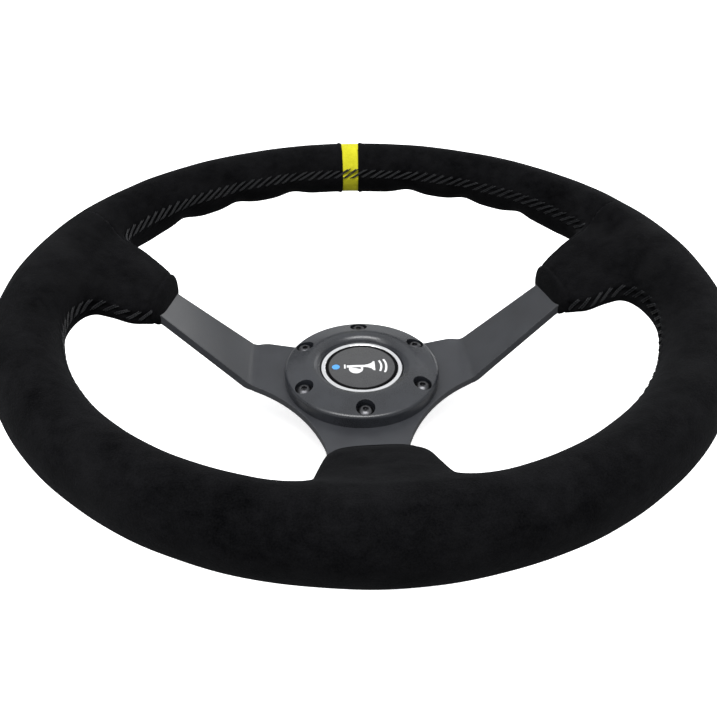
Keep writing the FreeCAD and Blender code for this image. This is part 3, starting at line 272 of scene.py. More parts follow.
def slope_at(points, step=0.05):
    """Unit outward normal of the padded rim at each point, and how steep the distance is."""
    x, y, z = points.T
    gradient = np.stack([
        wheel_distance(x + step, y, z) - wheel_distance(x - step, y, z),
        wheel_distance(x, y + step, z) - wheel_distance(x, y - step, z),
        wheel_distance(x, y, z + step) - wheel_distance(x, y, z - step),
    ], axis=1) / (2 * step)
    length = np.linalg.norm(gradient, axis=1, keepdims=True) + 1e-9
    return gradient / length, length[:, 0]


def settle(points, rounds=3):
    """Points moved along the slope until they lie on the surface."""
    for _ in range(rounds):
        normal, length = slope_at(points)
        gap = wheel_distance(*points.T)
        points = points - normal * (gap / length)[:, None]
    return points


def padded_mesh(voxel, inset):
    """Points and quads of the padded rim, shrunk by an inset, closed and even."""
    reach = OUTER_RADIUS + GRID_MARGIN
    high_level = RIM_LEVEL + AXIAL_HALF + GRID_MARGIN
    steps = np.arange(-reach, reach + voxel, voxel, dtype=np.float32)
    levels = np.arange(GRID_FLOOR, high_level, voxel, dtype=np.float32)
    values = np.empty((len(steps), len(steps), len(levels)), np.float32)
    across = steps[:, None]
    for index, level in enumerate(levels):
        x, y = np.broadcast_arrays(across, across.T)
        values[:, :, index] = wheel_distance(x, y, np.float32(level))
    grid = openvdb.FloatGrid(float(GRID_MARGIN))
    grid.copyFromArray(values)
    points, quads = grid.convertToQuads(-inset)
    points = np.asarray(points, float) * voxel + np.array([-reach, -reach, GRID_FLOOR])
    return points, np.asarray(quads, int)


def cover_surface():
    """Points, outward normals and quads of the suede's outside."""
    points, quads = padded_mesh(VOXEL, 0.0)
    points = settle(points)
    normals, _ = slope_at(points)
    corner = points[quads]
    facing = np.cross(corner[:, 1] - corner[:, 0], corner[:, 2] - corner[:, 0])
    if (facing * normals[quads[:, 0]]).sum() < 0:
        quads = quads[:, ::-1]
    return points, normals, quads


# ---------------------------------------------------------------- seams

def even_path(points, spacing):
    """A path through the given points, walked in even steps."""
    lengths = np.linalg.norm(np.diff(points, axis=0), axis=1)
    travelled = np.concatenate([[0], np.cumsum(lengths)])
    count = int(travelled[-1] / spacing)
    marks = np.arange(count + 1) * spacing
    return np.stack([np.interp(marks, travelled, points[:, axis]) for axis in range(3)], axis=1)


def upper_seam():
    """Round the inside of the upper rim, from one side pad to the other."""
    angle = np.radians(np.linspace(-UPPER_SEAM_STOP, UPPER_SEAM_STOP, 240))
    radius = INNER_RADIUS - UPPER_SEAM_INSET
    level = RIM_LEVEL + UPPER_SEAM_RISE
    points = np.stack([radius * np.sin(angle), radius * np.cos(angle),
                       np.full_like(angle, level)], axis=1)
    return settle(points)


def lower_seam(side):
    """Along the low wall of a side pad and round the rim, ending behind the bottom pad."""
    angle = np.radians(np.linspace(*LOWER_SEAM_ANGLES, 90))
    radius = INNER_RADIUS - LOWER_SEAM_INSET
    rim = np.stack([radius * np.sin(angle), radius * np.cos(angle),
                    np.full_like(angle, RIM_LEVEL - LOWER_SEAM_DROP)], axis=1)
    points = even_path(np.concatenate([LOWER_SEAM_WALL, rim]), 1.0)
    for _ in range(LOWER_SEAM_ROUNDS):
        points[1:-1] = (points[:-2] + points[1:-1] + points[2:]) / 3
    points = settle(points)
    points[:, 0] *= side
    return points


def ribbon(path):
    """Even steps along a seam, and the direction across the seam at each of them."""
    points = even_path(path, SEAM_STEP)
    along = np.gradient(points, axis=0)
    along /= np.linalg.norm(along, axis=1, keepdims=True)
    normal, _ = slope_at(points)
    cross = np.cross(normal, along)
    cross /= np.linalg.norm(cross, axis=1, keepdims=True)
    return points, cross


def seam_relief(points, seams):
    """How far each surface point sinks or swells because of the seams."""
    relief = np.zeros(len(points))
    for path, cross in seams:
        tree = KDTree(len(path))
        for index, point in enumerate(path):
            tree.insert(point, index)
        tree.balance()
        low, high = path.min(0) - SEAM_REACH, path.max(0) + SEAM_REACH
        near = np.nonzero(np.all((points > low) & (points < high), axis=1))[0]
        radius = np.hypot(points[near, 0], points[near, 1])
        near = near[radius < RIM_RADIUS - SEAM_CLEAR]
        for index in near:
            _, step, distance = tree.find(points[index])
            if distance > SEAM_REACH or step in (0, len(path) - 1):
                continue
            offset = float(np.dot(points[index] - path[step], cross[step]))
            slant = offset * STITCH_LEAN / STITCH_HALF_HEIGHT
            phase = 2 * math.pi * ((step * SEAM_STEP - slant) / STITCH_PITCH - 0.5)
            groove = -GROOVE_DEPTH * math.exp(-(distance / GROOVE_WIDTH) ** 2)
            shoulder = math.exp(-((distance - PUCKER_OFFSET) / PUCKER_WIDTH) ** 2)
            gathered = PUCKER_EVEN_SHARE + (1 - PUCKER_EVEN_SHARE) * math.cos(phase)
            relief[index] += groove + PUCKER * shoulder * gathered
    return relief


def stripe_relief(points):
    """Rolled suede edges beside the stripe, and the stripe slightly sunk between them."""
    angle = from_twelve(points[:, 0], points[:, 1])
    radius = np.hypot(points[:, 0], points[:, 1])
    beside = np.radians(np.abs(angle) - STRIPE_HALF_ANGLE) * radius
    rolled = ROLL_HEIGHT * np.exp(-((beside - ROLL_OFFSET) / ROLL_WIDTH) ** 2)
    tucked = -TUCK_DEPTH * np.exp(-(beside / TUCK_WIDTH) ** 2)
    return np.where(beside > 0, rolled + tucked, -STRIPE_SINK)


def split_relief(points):
    """The fine butt joint where the upper covers meet the lower one, strongest inside the rim."""
    angle = np.abs(from_twelve(points[:, 0], points[:, 1]))
    radius = np.hypot(points[:, 0], points[:, 1])
    beside = np.radians(angle - COVER_SPLIT_ANGLE) * radius
    inside = 1 - smooth_step(INNER_RADIUS, RIM_RADIUS + SPLIT_FADE, radius)
    return -SPLIT_DEPTH * inside * np.exp(-(beside / SPLIT_WIDTH) ** 2)


def hem_relief(points):
    """The turned hem at the end of each sleeve: a soft roll and a fine line behind it."""
    x, y, _ = points.T
    low_side, high_side = SIDE_HEM_SPAN
    from_side = np.abs(x) - side_pad_end(y)
    side = (y > low_side) & (y < high_side) & (from_side < HEM_REACH)
    from_bottom = -y - BOTTOM_PAD_END
    bottom = (np.abs(x) < BOTTOM_HEM_HALF) & (from_bottom < HEM_REACH)
    distance = np.where(side, from_side, np.where(bottom, from_bottom, np.inf))
    roll = HEM_ROLL * np.exp(-((distance - HEM_WIDTH / 2) / HEM_ROLL_WIDTH) ** 2)
    line = -HEM_LINE * np.exp(-((distance - HEM_WIDTH) / HEM_LINE_WIDTH) ** 2)
    return roll + line


def hand_relief(points):
    """Slow, shallow unevenness of glued suede over foam."""
    x, y, z = points.T
    slow = np.sin(x / 11.3 + 1.3 * np.sin(y / 17.1)) * np.sin(y / 12.7 + z / 9.1)
    quick = np.sin(x / 5.1 + z / 4.3 + 2.0) * np.sin(y / 4.7 - z / 6.9 + 0.7)
    return SLOW_WAVE * slow + QUICK_WAVE * quick


# ---------------------------------------------------------------- making pieces

def add_to_scene(name, data):
    """A new object in the scene."""
    item = bpy.data.objects.new(name, data)
    bpy.context.scene.collection.objects.link(item)
    return item


def set_smooth(mesh, smooth):
    """Smooth or flat shading for a whole mesh."""
    mesh.polygons.foreach_set("use_smooth", [smooth] * len(mesh.polygons))


def mesh_object(name, points, faces, smooth=True):
    """A mesh object from points in millimetres."""
    mesh = bpy.data.meshes.new(name)
    mesh.from_pydata([tuple(p) for p in np.asarray(points) * MM], [],
                     [tuple(int(i) for i in face) for face in faces])
    mesh.validate()
    set_smooth(mesh, smooth)
    return add_to_scene(name, mesh)


def editable_object(name, part, smooth):
    """A mesh object from an edit mesh in millimetres, which is freed."""
    bmesh.ops.scale(part, vec=(MM, MM, MM), verts=part.verts)
    mesh = bpy.data.meshes.new(name)
    part.to_mesh(mesh)
    part.free()
    set_smooth(mesh, smooth)
    return add_to_scene(name, mesh)


def finish_piece(piece, material, body, slot, *nodes):
    """Give a piece its material and its body, and hide the CAD nodes that it stands for; the slot
    is not used.
    """
    piece.data.materials.clear()
    piece.data.materials.append(material)
    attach(piece, body)
    if nodes:
        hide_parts(*nodes)


def radial_normal(angle):
    """Normal of the plane through the steering axis at an angle from twelve o'clock."""
    turn = math.radians(angle)
    return Vector((math.cos(turn), -math.sin(turn), 0))


def split_cover(points, quads):
    """The padded rim cut at the stripe and at the side pads, as four open shells with lips."""
    whole = bmesh.new()
    corners = [whole.verts.new(p) for p in points]
    for quad in quads:
        whole.faces.new([corners[i] for i in quad])
    for angle in (-COVER_SPLIT_ANGLE, -STRIPE_HALF_ANGLE, STRIPE_HALF_ANGLE, COVER_SPLIT_ANGLE):
        bmesh.ops.bisect_plane(whole, geom=whole.verts[:] + whole.edges[:] + whole.faces[:],
                               dist=1e-4, plane_co=(0, 0, 0), plane_no=radial_normal(angle))
    ranges = {
        "cover_upper_left": lambda a: -COVER_SPLIT_ANGLE < a < -STRIPE_HALF_ANGLE,
        "cover_upper_right": lambda a: STRIPE_HALF_ANGLE < a < COVER_SPLIT_ANGLE,
        "cover_stripe": lambda a: abs(a) < STRIPE_HALF_ANGLE,
        "cover_lower": lambda a: abs(a) > COVER_SPLIT_ANGLE,
    }
    shells = {}
    for name, inside in ranges.items():
        part = whole.copy()
        unwanted = []
        for face in part.faces:
            centre = face.calc_center_median()
            if not inside(math.degrees(math.atan2(centre.x, centre.y))):
                unwanted.append(face)
        bmesh.ops.delete(part, geom=unwanted, context="FACES")
        part.normal_update()
        lip = [edge for edge in part.edges if edge.is_boundary]
        made = bmesh.ops.extrude_edge_only(part, edges=lip)
        for vertex in (item for item in made["geom"] if isinstance(item, bmesh.types.BMVert)):
            source = next(edge.other_vert(vertex) for edge in vertex.link_edges
                          if not edge.is_boundary)
            vertex.co -= source.normal * COVER_THICKNESS
        shells[name] = editable_object(name, part, smooth=True)
    whole.free()
    return shells


def tube(centres, normals, radius, sides=7):
    """Points and faces of one tube along a path, closed at both ends."""
    along = np.gradient(centres, axis=0)
    along /= np.linalg.norm(along, axis=1, keepdims=True)
    across = np.cross(normals, along)
    across /= np.linalg.norm(across, axis=1, keepdims=True)
    outward = np.cross(along, across)
    turn = np.linspace(0, 2 * math.pi, sides, endpoint=False)
    rings = (centres[:, None] + radius * (np.cos(turn)[None, :, None] * across[:, None]
                                          + np.sin(turn)[None, :, None] * outward[:, None]))
    count = len(centres)
    faces = []
    for i in range(count - 1):
        here, there = i * sides, (i + 1) * sides
        for k in range(sides):
            beside = (k + 1) % sides
            faces.append((here + k, here + beside, there + beside, there + k))
    faces.append(tuple(range(sides))[::-1])
    faces.append(tuple((count - 1) * sides + k for k in range(sides)))
    return rings.reshape(-1, 3), faces


def join_tubes(name, tubes):
    """One object from many tubes."""
    points, faces, start = [], [], 0
    for ring_points, ring_faces in tubes:
        points.append(ring_points)
        faces.extend(tuple(i + start for i in face) for face in ring_faces)
        start += len(ring_points)
    return mesh_object(name, np.concatenate(points), faces)


def lacing(name, seam, lean):
    """Slanting double stitches that cross a seam and dive into the suede at both ends."""
    path, cross = seam
    per_pitch = int(STITCH_PITCH / SEAM_STEP)
    hand = np.random.default_rng(7)
    tubes = []
    for centre in range(per_pitch // 2, len(path) - per_pitch // 2, per_pitch):
        slip, tilt, reach = hand.normal(0, 1, 3) * STITCH_UNEVEN
        for strand in (-0.5, 0.5):
            t = np.linspace(-1, 1, STITCH_SAMPLES)
            shift = t * (STITCH_LEAN + tilt) * lean + strand * STRAND_GAP + slip
            steps = np.clip(centre + np.rint(shift / SEAM_STEP).astype(int), 0, len(path) - 1)
            points = path[steps] + cross[steps] * (t * (STITCH_HALF_HEIGHT + reach))[:, None]
            points = settle(points)
            above = THREAD_PROUD - THREAD_DIVE * np.abs(t) ** 8
            lift = above * THREAD_RADIUS - THREAD_SAG * np.exp(-(t / THREAD_SAG_WIDTH) ** 2)
            outward, _ = slope_at(points)
            points = points + outward * lift[:, None]
            for _ in range(2):
                points[1:-1] = (points[:-2] + 2 * points[1:-1] + points[2:]) / 4
            tubes.append(tube(points, outward, THREAD_RADIUS))
    return join_tubes(name, tubes)


# ---------------------------------------------------------------- horn emblem

def badge_height(x, y):
    """Front level of the domed badge at a place on it."""
    return BADGE_HIGH.z - BADGE_DOME * (x * x + y * y) / BADGE_HIGH.x ** 2


def decal(name, outlines):
    """Flat printed shapes laid on the badge's dome, each from a closed outline in plan."""
    part = bmesh.new()
    for outline in outlines:
        corners = [part.verts.new((EMBLEM_SCALE * x, EMBLEM_SCALE * y, 0)) for x, y in outline]
        face = part.faces.new(corners)
        if face.normal.z < 0:
            face.normal_flip()
    bmesh.ops.triangulate(part, faces=part.faces[:])
    for _ in range(3):
        long_edges = [edge for edge in part.edges if edge.calc_length() > INK_EDGE]
        if long_edges:
            bmesh.ops.subdivide_edges(part, edges=long_edges, cuts=1)
            bmesh.ops.triangulate(part, faces=part.faces[:])
    made = bmesh.ops.extrude_face_region(part, geom=part.faces[:])
    raised = {item for item in made["geom"] if isinstance(item, bmesh.types.BMVert)}
    for vertex in part.verts:
        lift = INK_HEIGHT if vertex in raised else -INK_ROOT
        vertex.co.z = badge_height(vertex.co.x, vertex.co.y) + lift
    bmesh.ops.recalc_face_normals(part, faces=part.faces[:])
    return editable_object(name, part, smooth=False)


def arc_points(x, y, radius, start, end, count=24):
    """Points along an arc, from one angle to another in degrees."""
    turns = np.radians(np.linspace(start, end, count))
    return [(x + radius * math.cos(t), y + radius * math.sin(t)) for t in turns]


def horn_outlines():
    """A trumpet seen from the side, with two sound arcs."""
    flare = [(1.2, PIPE_HALF), (2.8, 1.1), (4.2, 1.9), (5.2, 3.2), (BELL_END, 3.2)]
    bell = flare + [(x, -y) for x, y in reversed(flare)]
    pipe = [(-6.6, PIPE_HALF), (1.2, PIPE_HALF), (1.2, -PIPE_HALF), (-6.6, -PIPE_HALF)]
    mouth = [(-7.8, 1.4), (-7.1, 1.4), (-7.1, -1.4), (-7.8, -1.4)]
    outer = arc_points(-2.6, -1.9, 3.1, 180, 360, 28)
    inner = arc_points(-2.6, -1.9, 2.1, 360, 180, 28)
    loop = (outer + [(0.5, -PIPE_HALF), (-0.5, -PIPE_HALF)]
            + inner + [(-4.7, -PIPE_HALF), (-5.7, -PIPE_HALF)])
    shapes = [bell, pipe, mouth, loop]
    for radius in (9.2, 11.4):
        shapes.append(arc_points(-0.6, 0, radius + ARC_HALF_WIDTH,
                                 -ARC_HALF_ANGLE, ARC_HALF_ANGLE)
                      + arc_points(-0.6, 0, radius - ARC_HALF_WIDTH,
                                   ARC_HALF_ANGLE, -ARC_HALF_ANGLE))
    return shapes


def dot_outline():
    """A round dot to the left of the trumpet."""
    return arc_points(-11.4, 0, 1.7, 0, 360, 37)[:-1]


# ---------------------------------------------------------------- finishes

class Finish:
    """A procedural material, built up from a few wired nodes."""

    def __init__(self, name, **surface):
        self.material = bpy.data.materials.new(name)
        self.material.use_nodes = True
        self.nodes = self.material.node_tree.nodes
        self.links = self.material.node_tree.links
        self.shader = self.nodes["Principled BSDF"]
        self.place = self.nodes.new("ShaderNodeTexCoord").outputs["Object"]
        for socket, value in surface.items():
            self.set(self.shader, socket.replace("_", " "), value)

    def set(self, node, socket, value):
        """Wire a socket to an input, or give the input a plain value."""
        if isinstance(value, bpy.types.NodeSocket):
            self.links.new(value, node.inputs[socket])
            return
        if isinstance(value, tuple) and len(value) == 3 and node.inputs[socket].type == "RGBA":
            value = value + (1.0,)
        node.inputs[socket].default_value = value

    def add(self, kind, inputs=None, **settings):
        """A new shader node with its settings and inputs."""
        node = self.nodes.new(kind)
        for name, value in settings.items():
            setattr(node, name, value)
        for socket, value in (inputs or {}).items():
            self.set(node, socket, value)
        return node

    def noise(self, scale, detail=3.0, rough=0.55, stretch=None):
        """Grey noise in the object's own space; scale counts features per metre."""
        place = self.place
        if stretch is not None:
            place = self.add("ShaderNodeMapping", {"Vector": place, "Scale": stretch}).outputs[0]
        node = self.add("ShaderNodeTexNoise", {"Vector": place, "Scale": scale,
                                               "Detail": detail, "Roughness": rough})
        return node.outputs["Fac"]

    def remap(self, value, from_low, from_high, to_low, to_high):
        """A value stretched from one range to another, and kept inside it."""
        node = self.add("ShaderNodeMapRange", {
            "Value": value, "From Min": from_low, "From Max": from_high,
            "To Min": to_low, "To Max": to_high})
        return node.outputs["Result"]

    def math(self, operation, a, b=0.0):
        """One sum, product or other operation on two values."""
        return self.add("ShaderNodeMath", {0: a, 1: b}, operation=operation).outputs[0]

    def mix(self, factor, low, high):
        """A colour between two colours."""
        node = self.add("ShaderNodeMix", data_type="RGBA")
        self.set(node, 0, factor)
        self.set(node, 6, low)
        self.set(node, 7, high)
        return node.outputs[2]

    def edges(self, radius):
        """1 on corners and 0 on flat faces, and a normal that rounds the corners."""
        bevel = self.add("ShaderNodeBevel", {"Radius": radius}, samples=4)
        straight = self.add("ShaderNodeNewGeometry").outputs["Normal"]
        dot = self.add("ShaderNodeVectorMath", {0: bevel.outputs[0], 1: straight},
                       operation="DOT_PRODUCT").outputs["Value"]
        return self.remap(dot, 0.99, 0.85, 0.0, 1.0), bevel.outputs[0]

    def bump(self, height, distance, strength=1.0, under=None):
        """A normal with fine relief, on top of another normal if one is given."""
        inputs = {"Height": height, "Distance": distance, "Strength": strength}
        if under is not None:
            inputs["Normal"] = under
        return self.add("ShaderNodeBump", inputs).outputs[0]

    def surface(self, **inputs):
        """Set the shader's inputs and give back the finished material."""
        for socket, value in inputs.items():
            self.set(self.shader, socket.replace("_", " "), value)
        return self.material


def suede(name, dark, light, rubbed, sheen):
    """Napped suede: clouded colour, brushed patches, fine fibre and a soft edge glow."""
    f = Finish(name, Roughness=0.95, Specular_IOR_Level=0.02)
    cloud = f.noise(42.0, 4.0, 0.6)
    brushed = f.noise(170.0, 3.0, 0.6, stretch=(1.0, 1.0, 1.6))
    fibre = f.noise(1500.0, 2.0, 0.7)
    tone = f.math("ADD", f.math("MULTIPLY", cloud, 0.5),
                  f.math("ADD", f.math("MULTIPLY", brushed, 0.3),
                         f.math("MULTIPLY", fibre, 0.35)))
    base = f.mix(f.remap(tone, 0.42, 0.74, 0.0, 1.0), dark, light)
    patches = f.remap(f.noise(24.0, 2.0, 0.5), 0.55, 0.75, 0.0, 0.5)
    colour = f.mix(patches, base, rubbed)
    coarse = f.bump(brushed, 0.0006, 0.5)
    normal = f.bump(fibre, 0.00035, 0.75, coarse)
    return f.surface(Base_Color=colour, Normal=normal, Sheen_Weight=sheen,
                     Sheen_Roughness=0.45, Sheen_Tint=(0.85, 0.87, 0.92))


def thread_finish(name, dark, light):
    """Waxed, twisted thread."""
    f = Finish(name, Roughness=0.5, Specular_IOR_Level=0.35)
    wave = f.add("ShaderNodeTexWave", {"Vector": f.place, "Scale": 420.0, "Distortion": 1.2,
                                       "Detail": 1.0}, bands_direction="DIAGONAL")
    ply = wave.outputs["Fac"]
    fuzz = f.noise(2600.0, 2.0, 0.6)
    colour = f.mix(f.remap(f.math("ADD", ply, fuzz), 0.5, 1.6, 0.0, 1.0), dark, light)
    return f.surface(Base_Color=colour, Normal=f.bump(ply, 0.00018, 0.8),
                     Roughness=f.remap(fuzz, 0.3, 0.7, 0.32, 0.55))


def satin(name, dark, light, wear_and_highlight_colour, roughness, metallic=0.0, grain=0.25, coat=0.0,
          corner=0.0005):
    """A satin coating with fine orange-peel grain, faint clouds, and corners lightened as worn
    paint and as a painted edge highlight.
    """
    f = Finish(name, Metallic=metallic, Specular_IOR_Level=0.5, Coat_Weight=coat,
               Coat_Roughness=0.25)
    cloud = f.noise(60.0, 4.0, 0.6)
    fine = f.noise(3200.0, 2.0, 0.6)
    corner_mask, rounded = f.edges(corner)
    spots = f.remap(f.noise(700.0, 3.0, 0.6), 0.45, 0.65, 0.0, 0.55)
    base = f.mix(f.remap(cloud, 0.3, 0.7, 0.0, 1.0), dark, light)
    # Patches on the corners take the lighter third colour: worn paint, and also a painted edge
    # highlight.
    colour = f.mix(f.math("MULTIPLY", corner_mask, spots), base, wear_and_highlight_colour)
    rough = f.math("ADD", f.remap(cloud, 0.3, 0.7, roughness - 0.05, roughness + 0.05),
                   f.remap(fine, 0.3, 0.7, -0.05, 0.05))
    return f.surface(Base_Color=colour, Roughness=rough,
                     Normal=f.bump(fine, 0.00006, grain, rounded))


def turned_metal(name, colour, shade, roughness, lines=0.3):
    """Bare or plated metal with faint turning marks and handling stains."""
    f = Finish(name, Metallic=1.0)
    marks = f.noise(180.0, 3.0, 0.5, stretch=(1.0, 1.0, 14.0))
    stain = f.noise(90.0, 4.0, 0.6)
    corner_mask, rounded = f.edges(0.0003)
    base = f.mix(f.remap(stain, 0.35, 0.7, 0.0, 1.0), colour, shade)
    bright = tuple(min(1.0, c * 1.25) for c in colour)
    return f.surface(Base_Color=f.mix(corner_mask, base, bright),
                     Roughness=f.remap(f.math("ADD", stain, marks), 0.6, 1.4,
                                       roughness - 0.07, roughness + 0.1),
                     Normal=f.bump(marks, 0.00004, lines, rounded))


def moulded(name, dark, light, roughness, gloss=0.0, peel=0.2, shine=0.5):
    """Moulded plastic or rubber with a faint skin texture."""
    f = Finish(name, Coat_Weight=gloss, Coat_Roughness=0.06, Specular_IOR_Level=shine)
    cloud = f.noise(140.0, 3.0, 0.5)
    skin = f.noise(2200.0, 2.0, 0.55)
    _, rounded = f.edges(0.0003)
    return f.surface(Base_Color=f.mix(f.remap(cloud, 0.3, 0.7, 0.0, 1.0), dark, light),
                     Roughness=f.remap(f.math("ADD", cloud, skin), 0.6, 1.4,
                                       roughness - 0.05, roughness + 0.06),
                     Normal=f.bump(skin, 0.00005, peel, rounded))


def print_ink(name, colour, shade):
    """Printed ink with slight mottling."""
    f = Finish(name, Specular_IOR_Level=0.5, Coat_Weight=0.4, Coat_Roughness=0.1)
    speck = f.noise(1800.0, 3.0, 0.6)
    return f.surface(Base_Color=f.mix(f.remap(speck, 0.35, 0.75, 0.0, 1.0), colour, shade),
                     Roughness=f.remap(speck, 0.3, 0.7, 0.25, 0.4),
                     Normal=f.bump(speck, 0.00003, 0.15))


def floor_finish():
    """Pale matt studio floor that can be seen through from below, and bounces little light."""
    f = Finish("studio_floor", Roughness=0.9, Specular_IOR_Level=0.05)
    mottle = f.noise(3.0, 3.0, 0.5)
    seen = f.add("ShaderNodeLightPath").outputs["Is Camera Ray"]
    pale = f.mix(mottle, (0.90, 0.90, 0.90), (0.93, 0.93, 0.93))
    f.surface(Base_Color=f.mix(seen, (0.22, 0.22, 0.22), pale),
              Emission_Color=(1.0, 1.0, 1.0), Emission_Strength=f.math("MULTIPLY", seen, 0.6))
    clear = f.add("ShaderNodeBsdfTransparent")
    behind = f.add("ShaderNodeNewGeometry").outputs["Backfacing"]
    choose = f.add("ShaderNodeMixShader", {0: behind, 1: f.shader.outputs[0],
                                           2: clear.outputs[0]})
    f.links.new(choose.outputs[0], f.nodes["Material Output"].inputs["Surface"])
    return f.material


def all_finishes():
    """Every material by its name."""
    # The third colour of each satin finish is its lighter corner colour: worn paint, and also a
    # painted edge highlight.
    black_paint = satin("spoke_black", (0.022, 0.023, 0.027), (0.031, 0.033, 0.038),
                        (0.12, 0.12, 0.125), 0.44, grain=0.35, corner=0.0010)
    return {
        "suede_black": suede("suede_black", (0.0008, 0.0008, 0.0010), (0.0058, 0.0058, 0.0064),
                             (0.0085, 0.0085, 0.0090), 0.022),
        "suede_yellow": suede("suede_yellow", (0.40, 0.375, 0.012), (0.58, 0.555, 0.028),
                              (0.53, 0.50, 0.05), 0.03),
        "thread": thread_finish("thread", (0.002, 0.002, 0.003), (0.013, 0.014, 0.016)),
        "foam": moulded("foam", (0.02, 0.02, 0.02), (0.035, 0.035, 0.035), 0.9, peel=0.5),
        "tube": turned_metal("tube", (0.62, 0.63, 0.64), (0.50, 0.51, 0.52), 0.38),
        "spoke_black": black_paint,
        "rivet_steel": turned_metal("rivet_steel", (0.5, 0.5, 0.5), (0.38, 0.38, 0.39), 0.4),
        "ring_black": satin("ring_black", (0.012, 0.013, 0.016), (0.019, 0.021, 0.026),
                            (0.07, 0.075, 0.085), 0.30, grain=0.4, coat=0.25),
        "screw_black": turned_metal("screw_black", (0.10, 0.10, 0.105), (0.06, 0.06, 0.065), 0.33),
        "bezel_silver": turned_metal("bezel_silver", (0.90, 0.90, 0.91), (0.82, 0.82, 0.83), 0.16),
        "button_black": moulded("button_black", (0.0015, 0.0015, 0.0018), (0.003, 0.003, 0.0034),
                                0.55, shine=0.08),
        "badge": moulded("badge", (0.010, 0.010, 0.0115), (0.018, 0.018, 0.020), 0.28, gloss=1.0),
        "housing_black": moulded("housing_black", (0.012, 0.012, 0.013), (0.02, 0.02, 0.021), 0.5),
        "seal_rubber": moulded("seal_rubber", (0.010, 0.010, 0.010), (0.018, 0.018, 0.018), 0.75,
                               peel=0.4),
        "spring_steel": turned_metal("spring_steel", (0.58, 0.58, 0.60), (0.42, 0.42, 0.44), 0.28),
        "contact_brass": turned_metal("contact_brass", (0.80, 0.58, 0.26), (0.60, 0.42, 0.18), 0.3),
        "wire_red": moulded("wire_red", (0.45, 0.02, 0.02), (0.6, 0.03, 0.03), 0.45),
        "wire_dark": moulded("wire_dark", (0.012, 0.012, 0.012), (0.025, 0.025, 0.025), 0.45),
        "terminal_tin": turned_metal("terminal_tin", (0.72, 0.71, 0.68), (0.55, 0.54, 0.52), 0.36),
        "zinc_steel": turned_metal("zinc_steel", (0.66, 0.66, 0.62), (0.52, 0.52, 0.50), 0.35),
        "hub_black": satin("hub_black", (0.012, 0.012, 0.014), (0.022, 0.022, 0.025),
                           (0.25, 0.25, 0.26), 0.35, metallic=0.3),
        "collar_red": satin("collar_red", (0.20, 0.010, 0.010), (0.32, 0.018, 0.016),
                            (0.75, 0.70, 0.70), 0.28, metallic=0.8),
        "ball_steel": turned_metal("ball_steel", (0.78, 0.78, 0.80), (0.70, 0.70, 0.72), 0.12),
        "clip_steel": turned_metal("clip_steel", (0.30, 0.30, 0.31), (0.2, 0.2, 0.21), 0.35),
        "bush_white": moulded("bush_white", (0.72, 0.71, 0.67), (0.82, 0.81, 0.78), 0.45),
    }


# ---------------------------------------------------------------- light and camera

# Lights in metres and watts: name, place, aim, width, power, height as a share of width.
LIGHTS = [
    ("key", (-0.06, -0.36, 1.10), (0, 0, 0.05), 0.90, 12.0, 0.45),
    ("fill", (-0.80, -0.55, 0.85), (0, 0, 0.05), 0.50, 1.8, 1.0),
    ("back", (0.75, 0.95, 0.45), (0, 0, 0.08), 0.60, 4.0, 0.6),
]
SURROUND_COLOUR = (0.97, 0.985, 1.0, 1.0)
SURROUND_STRENGTH = 0.9

# Floor in millimetres; the camera's angles in degrees, its place in metres, its lens in
# millimetres and its shift as a share of the frame.
FLOOR_HALF = 6000.0
FLOOR_DROP = 0.5
CAMERA_AZIMUTH = -3.24
CAMERA_ELEVATION = 37.50
CAMERA_ROLL = 0.23
CAMERA_DISTANCE = 0.37083
CAMERA_AIM = Vector((0, 0, 0.042))
CAMERA_LENS = 33.107
CAMERA_SENSOR = 36.0
CAMERA_SHIFT = (-0.00455, 0.00897)


def soft_light(name, place, target, size, power, shape_ratio):
    """A rectangular lamp aimed at a point."""
    data = bpy.data.lights.new(name, "AREA")
    data.shape = "RECTANGLE"
    data.size = size
    data.size_y = size * shape_ratio
    data.energy = power
    lamp = add_to_scene(name, data)
    lamp.location = place
    lamp.rotation_euler = (Vector(target) - Vector(place)).to_track_quat("-Z", "Y").to_euler()


def studio(finish):
    """Pale floor, an even bright surround and three soft lights."""
    half = FLOOR_HALF
    floor = mesh_object("studio_floor", [(-half, -half, -FLOOR_DROP), (half, -half, -FLOOR_DROP),
                                         (half, half, -FLOOR_DROP), (-half, half, -FLOOR_DROP)],
                        [(0, 1, 2, 3)], smooth=False)
    floor.data.materials.append(finish)
    world = bpy.data.worlds.new("studio")
    bpy.context.scene.world = world
    world.use_nodes = True
    background = world.node_tree.nodes["Background"]
    background.inputs["Color"].default_value = SURROUND_COLOUR
    background.inputs["Strength"].default_value = SURROUND_STRENGTH
    for light in LIGHTS:
        soft_light(*light)
    view = bpy.context.scene.view_settings
    view.view_transform = "Standard"
    view.look = "None"


def camera():
    """The viewing angle: from just left of six o'clock, well above the rim's plane."""
    azimuth = math.radians(CAMERA_AZIMUTH)
    elevation = math.radians(CAMERA_ELEVATION)
    back = Vector((math.sin(azimuth) * math.cos(elevation),
                   -math.cos(azimuth) * math.cos(elevation), math.sin(elevation)))
    data = bpy.data.cameras.new("camera")
    data.lens = CAMERA_LENS
    data.sensor_width = CAMERA_SENSOR
    data.shift_x, data.shift_y = CAMERA_SHIFT
    data.clip_start = 0.01
    item = add_to_scene("camera", data)
    item.rotation_mode = "QUATERNION"
    roll = Matrix.Rotation(math.radians(CAMERA_ROLL), 4, "Z")
    item.rotation_quaternion = ((-back).to_track_quat("-Z", "Y").to_matrix().to_4x4()
                                @ roll).to_quaternion()
    item.location = CAMERA_AIM + back * CAMERA_DISTANCE
    bpy.context.scene.camera = item


# ---------------------------------------------------------------- build

